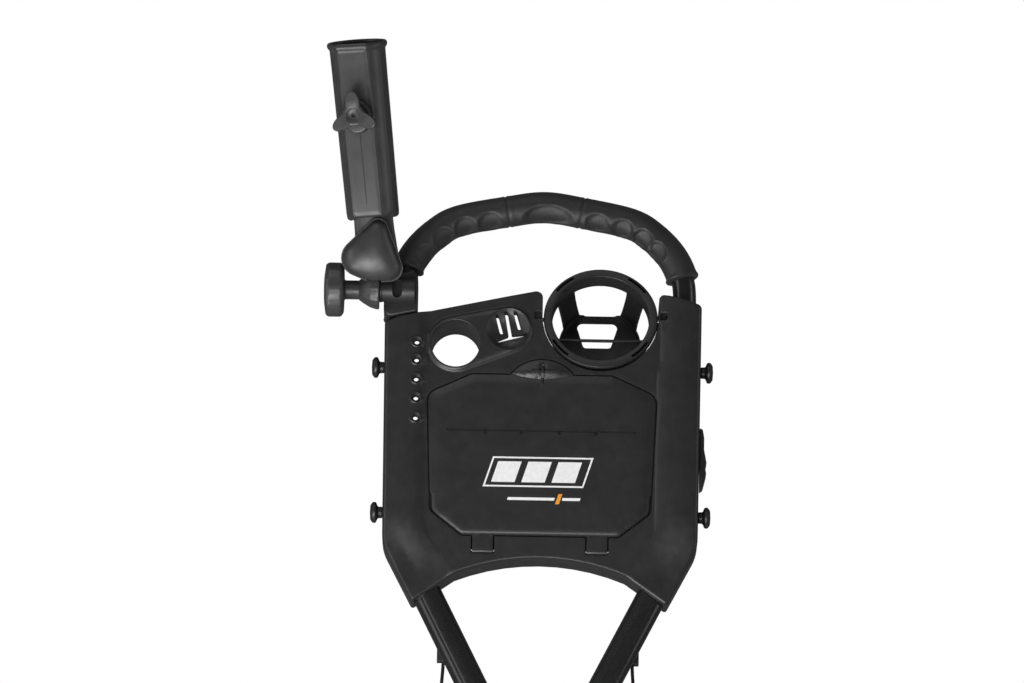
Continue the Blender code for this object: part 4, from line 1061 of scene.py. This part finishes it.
def build_cup_basket():
    """Four curved straps and a floor with a rounded window."""
    floor = CUP_LIP - CUP_DEPTH
    bm = bmesh.new()
    for angle in (45.0, 135.0, 225.0, 315.0):
        rings = []
        for share in np.linspace(0.0, 1.0, 13):
            radius = 45.4 + (36.6 - 45.4) * share
            height = CUP_LIP - CUP_BAND + 0.6 + (floor - CUP_LIP + CUP_BAND) * share
            half = 13.6 + 1.4 * abs(2.0 * share - 1.0) ** 3
            spread = math.degrees(half * 0.72 / radius)
            outer = arc((0.0, 0.0), radius + 1.2, angle - spread, angle + spread, 12)
            inner = arc((0.0, 0.0), radius - 1.2, angle + spread - 0.7, angle - spread + 0.7, 12)
            rings.append([(x, y, height) for x, y in outer + inner])
        bands(bm, rings, True)
    profile = softened([(0.0, floor), (37.4, floor), (37.4, floor + 5.2), (35.4, floor + 5.2),
                        (34.6, floor + 3.0), (0.0, floor + 3.0)], 0.9)
    disc = bmesh.new()
    turned(disc, profile, 96)
    window = rounded([(-14.6, -1.8, 3), (9.8, -1.8, 3), (15.8, 19.0, 6), (15.4, 25.4, 5),
                      (-20.2, 25.4, 5), (-20.6, 19.0, 6)], 6)
    tool = bmesh.new()
    bands(tool, [[(x, y, h) for x, y in window] for h in (floor - 4.0, floor + 7.0)], True)
    far_edge = bmesh.new()
    bands(far_edge, [[(x, y, h) for x, y in ((-40.0, 32.0), (40.0, 32.0), (40.0, 50.0), (-40.0, 50.0))]
                     for h in (floor - 4.0, floor + 8.0)], True)
    absorb(bm, cut(disc, [tool, far_edge]))
    # The cage's darker black is partly painted shade inside the cup.
    add_piece("cup_cage", bm, CAGE_AND_SHADE, "cup_holder", ["cup_basket"], CUP_FRAME)


# ---------------------------------------------------------------- pegs and clip

def build_pegs():
    profile = softened([(0.0, 0.0), (5.2, 0.0), (5.2, 4.0), (9.4, 5.8), (9.5, 8.6), (6.6, 10.8),
                        (0.0, 11.2)], 1.0)
    for side, label in ((-1, "left"), (1, "right")):
        for x, z, level in ((142.6, 60.6, "upper"), (141.3, -74.9, "lower")):
            bm = bmesh.new()
            turned(bm, profile, 48)
            place = Matrix.Translation((side * x, TUBE_Y + 1.0, z)) @ turn(side * 90.0, "Y")
            add_piece(f"peg_{level}_{label}", bm, RIM, "cart_head",
                      [f"strap_peg_{level}_{label}"], place)


def build_side_clip():
    steps = [(0.0, -50.0, 0), (3.0, -48.0, 1.0), (6.0, -36.0, 1.0), (5.0, -31.0, 0.9),
             (6.2, -26.0, 0.9), (4.0, -14.0, 2.0), (4.0, -3.0, 1.2), (2.6, 5.0, 1.0), (0.0, 6.0, 0)]
    outline = rounded(steps, 5)
    bm = bmesh.new()
    rings = [[(x, y, z) for x, z in shifted(outline, -gap)] for y, gap in
             ((6.0, 0.5), (6.25, 0.15), (6.6, 0.0), (23.4, 0.0), (23.75, 0.15), (24.0, 0.5))]
    bands(bm, rings, True)
    add_piece("clip_cover", bm, RIM, "cart_head", ["side_clip"],
              Matrix.Translation((142.1, 0.0, 0.0)))


# ---------------------------------------------------------------- umbrella holder

def build_knob():
    profile = softened([(0.0, -14.0), (8.6, -14.0), (8.6, 0.4), (21.0, 0.9), (24.4, 3.5),
                        (24.5, 14.5), (22.8, 17.3), (12.0, 18.8), (0.0, 19.2)], 1.6)
    bm = bmesh.new()
    turned(bm, profile, 96)
    flutes = 16
    for vert in bm.verts:
        reach = math.hypot(vert.co.x, vert.co.y)
        if reach > 22.0 and 5.0 < vert.co.z < 17.0:
            wave = math.cos(flutes * math.atan2(vert.co.y, vert.co.x))
            shrink = 1.0 - 0.010 * max(0.0, wave) ** 3
            vert.co.x *= shrink
            vert.co.y *= shrink
    add_piece("lean_knob", bm, SATIN, "knob", ["swivel_knob"],
              KNOB_FRAME @ turn(-90.0, "Y"))


def cap_outline():
    """A rounded triangle with one corner up, about the tilt axis."""
    corners = [(4.5, 39.4, 9), (-45.0, -10.0, 17), (-4.0, -26.5, 30), (29.0, -23.5, 12)]
    return sampled(rounded(corners, 14), 1.6)


def build_front_cap():
    """A pillow-shaped cap over the tilt joint, with a thin rim round its foot."""
    outline = cap_outline()[::-1]
    centre = Vector((-2.5, -1.0))
    rings = []
    crown = [(1.0, 0.0), (1.0, 1.5), (0.985, 1.9), (0.965, 1.9), (0.952, 1.0), (0.942, 1.0), (0.938, 2.3)]
    crown += [(0.938 * math.cos(math.radians(a)) ** 0.86, 2.3 + 12.9 * math.sin(math.radians(a)))
              for a in np.linspace(8.0, 87.0, 22)]
    for scale, height in crown:
        ring = []
        for x, z in outline:
            out = Vector((x, z)) - centre
            round_reach = 23.0 / math.hypot(out.x / 1.02, out.y / 1.12)
            blend = 0.55 * ease((0.9 - scale) / 0.8)
            place = centre + out * scale * (1.0 + (round_reach - 1.0) * float(blend))
            ring.append((place.x, -CAP_FRONT - height, place.y))
        rings.append(ring)
    bm = bmesh.new()
    bands(bm, rings, True)
    scoop = bmesh.new()
    turned(scoop, [(17.9, -1.6), (17.9, 2.6), (16.2, 8.2), (12.4, 14.8), (9.4, 18.8), (9.4, 30.0)], 96)
    place = Matrix.Translation((9.0 - CAP_PLACE[0], 0.0, -CAP_PLACE[2])) @ turn(-90.0, "Y")
    bmesh.ops.transform(scoop, matrix=place, verts=scoop.verts)
    bm = cut(bm, [scoop])
    add_piece("joint_cap_front", bm, SATIN, "swivel", ["tilt_cap", "tilt_pin"],
              SWIVEL_FRAME @ Matrix.Translation(CAP_PLACE))


def build_collar():
    """The ribbed collar, the web that carries the rear cap, and that cap."""
    bm = bmesh.new()
    profile = softened([(3.3, 0.0), (17.0, 0.0), (17.3, 2.0), (15.6, 8.0), (11.8, 14.5), (8.7, 18.6),
                        (3.3, 18.6)], 1.0, closed=True)
    rings = []
    steps = 144
    for radius, height in profile:
        ring = []
        for k in range(steps):
            angle = 2.0 * math.pi * k / steps
            fluted = radius > 8.0 and height < 13.0
            flute = 0.4 * max(0.0, math.cos(9.0 * angle)) ** 6 if fluted else 0.0
            ring.append(((radius + flute) * math.cos(angle), (radius + flute) * math.sin(angle), height))
        rings.append(ring)
    collar = bmesh.new()
    loops = bands(collar, rings)
    wall(collar, loops[-1], loops[0])
    place = Matrix.Translation((9.0, 0.0, 0.0)) @ turn(-90.0, "Y")
    bmesh.ops.transform(collar, matrix=place, verts=collar.verts)
    room = bmesh.new()
    turned(room, [(0.0, -CAP_FACE), (19.5, -CAP_FACE), (19.5, 9.1), (0.0, 9.1)], 64)
    bmesh.ops.transform(room, matrix=Matrix.Translation((CAP_PLACE[0], 0.0, CAP_PLACE[2])) @ turn(90.0, "X"),
                        verts=room.verts)
    absorb(bm, cut(collar, [room]))
    web = bmesh.new()
    section = rounded([(-7.0, CAP_FACE + 0.4, 1.5), (7.0, CAP_FACE + 0.4, 1.5), (7.0, 11.5, 2),
                       (-7.0, 11.5, 2)], 4)
    low = rounded([(-7.0, -4.0, 2), (7.0, -4.0, 2), (7.0, 11.5, 2), (-7.0, 11.5, 2)], 4)
    bands(web, [[(x, y, z) for x, y in outline] for z, outline in
                ((3.0, low), (10.0, low), (10.8, section), (27.0, section))], True)
    absorb(bm, web)
    crown = bmesh.new()
    outline = cap_outline()
    rings = []
    for scale, height in [(0.90, 0.0), (0.90, 1.6)] + [
            (0.885 * math.cos(math.radians(a)), 1.8 + 9.4 * math.sin(math.radians(a)))
            for a in np.linspace(6.0, 84.0, 14)]:
        rings.append([(x * scale, height, z * scale) for x, z in outline])
    bands(crown, rings, True)
    absorb(bm, crown, Matrix.Translation((CAP_PLACE[0], CAP_FACE, CAP_PLACE[2])))
    add_piece("lean_collar", bm, SATIN, "swivel", ["swivel_collar"], SWIVEL_FRAME)


def build_clamp():
    """Saddle on the handle tube and the sleeve that the collar turns against."""
    saddle = rounded([(-144.0, 102.0, 7), (-113.5, 108.4, 3), (-113.5, 142.0, 4), (-118.0, 148.0, 3),
                      (-144.0, 139.0, 4)], 8)
    bm = bmesh.new()
    rings = [(-4.0, 2.0), (-3.7, 1.1), (-3.0, 0.4), (-2.0, 0.0), (TUBE_Y - 0.3, 0.0)]
    bands(bm, [[(x, y, z) for x, z in shifted(saddle, -gap)] for y, gap in rings], True)
    hub = joint_spot("umbrella_lean")
    sleeve = bmesh.new()
    profile = softened([(0.0, 0.0), (10.8, 0.0), (10.8, 1.6), (10.4, 2.2), (10.4, 13.0), (10.9, 13.6),
                        (10.9, 31.7), (0.0, 31.7)], 0.7)
    turned(sleeve, profile, 96)
    place = Matrix.Translation((-147.7, hub.y, hub.z)) @ turn(90.0, "Y")
    bmesh.ops.transform(sleeve, matrix=place, verts=sleeve.verts)
    slot = bmesh.new()
    outline = capsule((-131.9, hub.z - 4.2), (-131.9, hub.z + 4.2), 9.0, 12)
    bands(slot, [[(x, y, z) for x, z in outline] for y in (-30.0, -13.5)], True)
    passage = bmesh.new()
    legs = [p for p in handle_path(12) if p.x < -112.0]
    swept(passage, [Vector((-TUBE_X, TUBE_Y, 60.0))] + legs, Section(48, TUBE_RADIUS + 0.2))
    bm = cut(cut(bm, [sleeve], "UNION"), [slot, passage])
    add_piece("clamp_saddle", bm, CRISP, "cart_head", ["clamp_body"])


def tube_section(radius, flat, ridge, rib, sides=168):
    """A round section with a flat front, raised lines at the flat's edges and fine side ribs."""
    points = []
    half = math.degrees(math.acos(min(1.0, flat / radius)))
    for k in range(sides):
        angle = -90.0 + 360.0 * k / sides
        off = (angle + 90.0 + 180.0) % 360.0 - 180.0
        reach = min(radius, flat / max(math.cos(math.radians(off)), 1e-3)) if abs(off) < half else radius
        reach += 1.6 * ridge * math.exp(-((abs(off) - half) / 2.2) ** 2)
        reach += rib * sum(math.exp(-((abs(off) - line) / 1.7) ** 2) for line in (66.0, 84.0))
        points.append((reach * math.cos(math.radians(angle)), reach * math.sin(math.radians(angle))))
    return points


def build_umbrella_tube():
    """The tube with its rolled rim and stepped foot, and the neck between the caps."""
    levels = [(31.3, 19.6, 0.0), (31.5, 21.2, 0.1), (32.4, 22.6, 0.3),
              (33.9, 23.4, 0.5), (37.4, 23.7, 0.6), (80.0, 24.1, 0.6), (120.0, 24.5, 0.6),
              (160.0, 24.8, 0.6), (181.5, 25.1, 0.6), (184.3, 25.2, 0.5), (185.4, 25.8, 0.3),
              (186.4, 26.6, 0.2), (187.8, 27.15, 0.1), (189.4, 27.15, 0.1), (190.6, 26.6, 0.1),
              (191.2, 25.8, 0.0)]
    outer = [[(x, y, h) for x, y in tube_section(r, r - FLAT_STEP, ridge, ridge * 0.4)]
             for h, r, ridge in levels]
    bore = [(190.8, 24.8), (189.2, 24.4), (150.0, 23.8), (100.0, 23.2), (46.0, 22.6)]
    inner = [[(x, y, h) for x, y in tube_section(r - 1.2, r - FLAT_STEP - 1.2, 0.0, 0.0)] for h, r in bore]
    bm = bmesh.new()
    bands(bm, outer + inner, True)
    for vert in bm.verts:
        if vert.co.z > 183.8:
            vert.co.z += RIM_DIP * vert.co.y - RIM_SLANT * vert.co.x
        if vert.co.z < 38.0:
            vert.co.z += min(FRONT_STEP, 0.8 * max(0.0, -vert.co.y - 6.5))
    boss = bmesh.new()
    corners = [(0.0, 15.0), (12.9, 15.0), (12.9, 27.0), (11.4, 28.4), (5.0, 28.6), (0.0, 28.6)]
    turned(boss, softened(corners, 1.2), 72)
    absorb(bm, boss, Matrix.Translation((0.0, 0.0, THUMB_UP - 2.5)) @ turn(90.0, "X")
           @ Matrix.Scale(1.18, 4, (0.0, 1.0, 0.0)))
    seam = bmesh.new()
    section = [(-0.55, 0.0), (0.0, -0.38), (0.55, 0.0), (0.0, 0.3)]
    rings = []
    for h in np.linspace(46.0, 109.0, 8):
        radius = 23.6 + (h - 46.0) / 138.0 * 1.4
        rings.append([(x, y - (radius - FLAT_STEP), h) for x, y in section])
    bands(seam, rings, True)
    absorb(bm, seam)
    bmesh.ops.transform(bm, matrix=turn(-TUBE_TWIST, "Z"), verts=bm.verts)
    neck = bmesh.new()
    rings = []
    for height, half_width in ((0.0, 19.1), (10.0, 18.6), (20.0, 17.9), (33.0, 17.6)):
        rings.append([(x * half_width, y * NECK_HALF_DEPTH, height) for x, y in circle((0.0, 0.0), 1.0, 72)])
    bands(neck, rings, True)
    absorb(bm, neck)
    lug = bmesh.new()
    corners = [(0.0, 0.4 - CAP_FRONT), (LUG_RADIUS, 0.4 - CAP_FRONT), (LUG_RADIUS, CAP_FACE - 0.4),
               (0.0, CAP_FACE - 0.4)]
    turned(lug, softened(corners, 0.6), 72)
    absorb(bm, lug, turn(-90.0, "X"))
    piece = add_piece("umbrella_sleeve", bm, SATIN, "umbrella", ["umbrella_tube"],
                      TILT_FRAME, 32.0)
    # The bore's inward faces use slot 1, the painted-shade black: painted shade inside the tube.
    piece.data.materials.append(PAINTED_SHADE)
    back = (TILT_FRAME.inverted() @ Matrix.Translation(-DATUM) @ Matrix.Scale(1.0 / MM, 4))
    for face in piece.data.polygons:
        here = back @ face.center
        inward = here.x * face.normal.x + (here.y - 1.8) * face.normal.y < 0.0
        if inward and 46.5 < here.z < 190.0 and math.hypot(here.x, here.y) > 16.0:
            face.material_index = 1


def build_thumb_screw():
    """Three soft lobes about a dished hub, on a short stem."""
    steps = 180

    def outline(shrink):
        points = []
        for k in range(steps):
            angle = 2.0 * math.pi * k / steps
            reach = 9.9 + 12.6 * abs(math.cos(1.5 * (angle - math.pi / 2.0))) ** 4 - shrink
            points.append((reach * math.cos(angle), reach * math.sin(angle)))
        return points

    bm = bmesh.new()
    rings = []
    for height, shrink in ((0.0, 1.2), (0.35, 0.5), (1.2, 0.0), (4.9, 0.0), (5.7, 0.35), (6.2, 1.1)):
        rings.append([(x, -height, z) for x, z in outline(shrink)])
    loops = bands(bm, rings)
    bm.faces.new(loops[0])
    dish = []
    for radius, height in ((6.9, 6.35), (6.5, 6.2), (5.6, 5.3), (3.0, 4.6), (1.9, 4.5), (1.85, 1.8)):
        dish.append([bm.verts.new((x, -height, z)) for x, z in circle((0.0, 0.0), radius, 60)])
    skin(bm, [loops[-1], dish[0]])
    for near, far in zip(dish, dish[1:]):
        wall(bm, near, far)
    bm.faces.new(dish[-1])
    stem = bmesh.new()
    corners = [(0.0, -0.6), (6.2, -0.6), (6.2, 6.4), (3.0, 6.4), (3.0, 15.0), (0.0, 15.0)]
    turned(stem, softened(corners, 0.8), 40)
    absorb(bm, stem, turn(-90.0, "X"))
    add_piece("thumb_wheel", bm, SATIN, "thumb", ["thumb_screw"], THUMB_FRAME)


# ---------------------------------------------------------------- stage

def area_light(name, place, target, size, power):
    light = bpy.data.lights.new(name, "AREA")
    light.shape = "RECTANGLE"
    light.size, light.size_y = size
    light.energy = power
    lamp = bpy.data.objects.new(name, light)
    lamp.location = place
    lamp.visible_camera = False
    lamp.rotation_euler = (Vector(target) - Vector(place)).to_track_quat("-Z", "Y").to_euler()
    bpy.context.scene.collection.objects.link(lamp)
    return lamp


def build_stage():
    """A white studio: pale floor, bright surroundings and three soft boxes."""
    scene = bpy.context.scene
    scene.view_settings.view_transform = "Standard"
    world = bpy.data.worlds.new("studio")
    world.use_nodes = True
    tree = world.node_tree
    seen = tree.nodes["Background"]
    seen.inputs["Color"].default_value = (1.0, 1.0, 1.0, 1.0)
    dim = tree.nodes.new("ShaderNodeBackground")
    dim.inputs["Color"].default_value = (1.0, 1.0, 1.0, 1.0)
    dim.inputs["Strength"].default_value = SURROUND
    path = tree.nodes.new("ShaderNodeLightPath")
    mix = tree.nodes.new("ShaderNodeMixShader")
    tree.links.new(path.outputs["Is Camera Ray"], mix.inputs["Fac"])
    tree.links.new(dim.outputs["Background"], mix.inputs[1])
    tree.links.new(seen.outputs["Background"], mix.inputs[2])
    tree.links.new(mix.outputs["Shader"], tree.nodes["World Output"].inputs["Surface"])
    scene.world = world
    bm = bmesh.new()
    bmesh.ops.create_grid(bm, x_segments=24, y_segments=24, size=1.6)
    mesh = bpy.data.meshes.new("floor")
    bm.to_mesh(mesh)
    bm.free()
    floor = bpy.data.objects.new("floor", mesh)
    floor.location = (0.0, 0.0, FLOOR_Z)
    mesh.materials.append(ink("floor_paper", (0.86, 0.86, 0.86)))
    scene.collection.objects.link(floor)
    area_light("low_box", (-0.35, -1.3, -0.50), (0.0, 0.0, 0.42), (1.3, 0.6), 17.5)
    area_light("foot_box", (-0.50, -0.62, -0.50), (0.0, 0.0, 0.36), (1.3, 0.6), 14.0)
    area_light("high_box", (-0.6, -1.4, 2.3), (0.0, 0.0, 0.45), (1.6, 1.2), 7.0)
    area_light("left_box", (-1.8, -0.9, 0.4), (0.0, 0.0, 0.5), (0.8, 1.6), 6.0)
    area_light("right_box", (1.9, -0.5, 0.6), (0.0, 0.0, 0.5), (0.6, 1.6), 4.0)


def build_camera():
    """Seen from the golfer's side and a little below, with a trace of roll."""
    camera_data = bpy.data.cameras.new("camera")
    camera_data.sensor_width = 36.0
    camera_data.lens = CAMERA_LENS
    camera = bpy.data.objects.new("camera", camera_data)
    climb = math.radians(CAMERA_CLIMB)
    forward = Vector((0.0, math.cos(climb), math.sin(climb)))
    level = Vector((1.0, 0.0, 0.0))
    above = Vector((0.0, -math.sin(climb), math.cos(climb)))
    roll = math.radians(CAMERA_ROLL)
    right = level * math.cos(roll) + above * math.sin(roll)
    up = above * math.cos(roll) - level * math.sin(roll)
    aim = (Vector(CAMERA_AIM) + DATUM) * MM
    basis = Matrix((right, up, -forward)).transposed().to_4x4()
    camera.matrix_world = Matrix.Translation(aim - forward * CAMERA_DISTANCE) @ basis
    bpy.context.scene.collection.objects.link(camera)
    bpy.context.scene.camera = camera


def dress_cad():
    """CAD pieces whose shape is right keep it, with softened edges and a finish."""
    shown = {"console_rear": SHELL, "storage_tray": SHELL, "clamp_strap": CRISP, "fold_bracket": CRISP,
             "frame_clevis": CRISP, "fold_lock_knob": CRISP, "cradle_lug_left": CRISP,
             "cradle_lug_right": CRISP, "bag_cradle_wire": GLOSS}
    for name, node in frame["nodes"].items():
        finish = shown.get(name)
        if finish is None:
            finish = ZINC if "screw" in name or "pin" in name else SHELL
        node.data.materials.clear()
        node.data.materials.append(finish)
        if name in shown and name != "bag_cradle_wire":
            weld = node.modifiers.new("weld", "WELD")
            weld.merge_threshold = 0.01 * MM
            bevel = node.modifiers.new("bevel", "BEVEL")
            bevel.width = 0.7 * MM
            bevel.segments = 2
            bevel.limit_method = "ANGLE"
            bevel.angle_limit = math.radians(35.0)


build_stage()
build_camera()
dress_cad()
build_console_front()
build_lid()
build_lid_mark()
build_handle_tube()
build_grip("grip_left", 9, 24)
build_grip("grip_centre", 24, 32)
build_grip("grip_right", 32, 48)
build_lower_tube(-1, "left")
build_lower_tube(1, "right")
build_cup_ring()
build_cup_basket()
build_pegs()
build_side_clip()
build_knob()
build_front_cap()
build_collar()
build_clamp()
build_umbrella_tube()
build_thumb_screw()
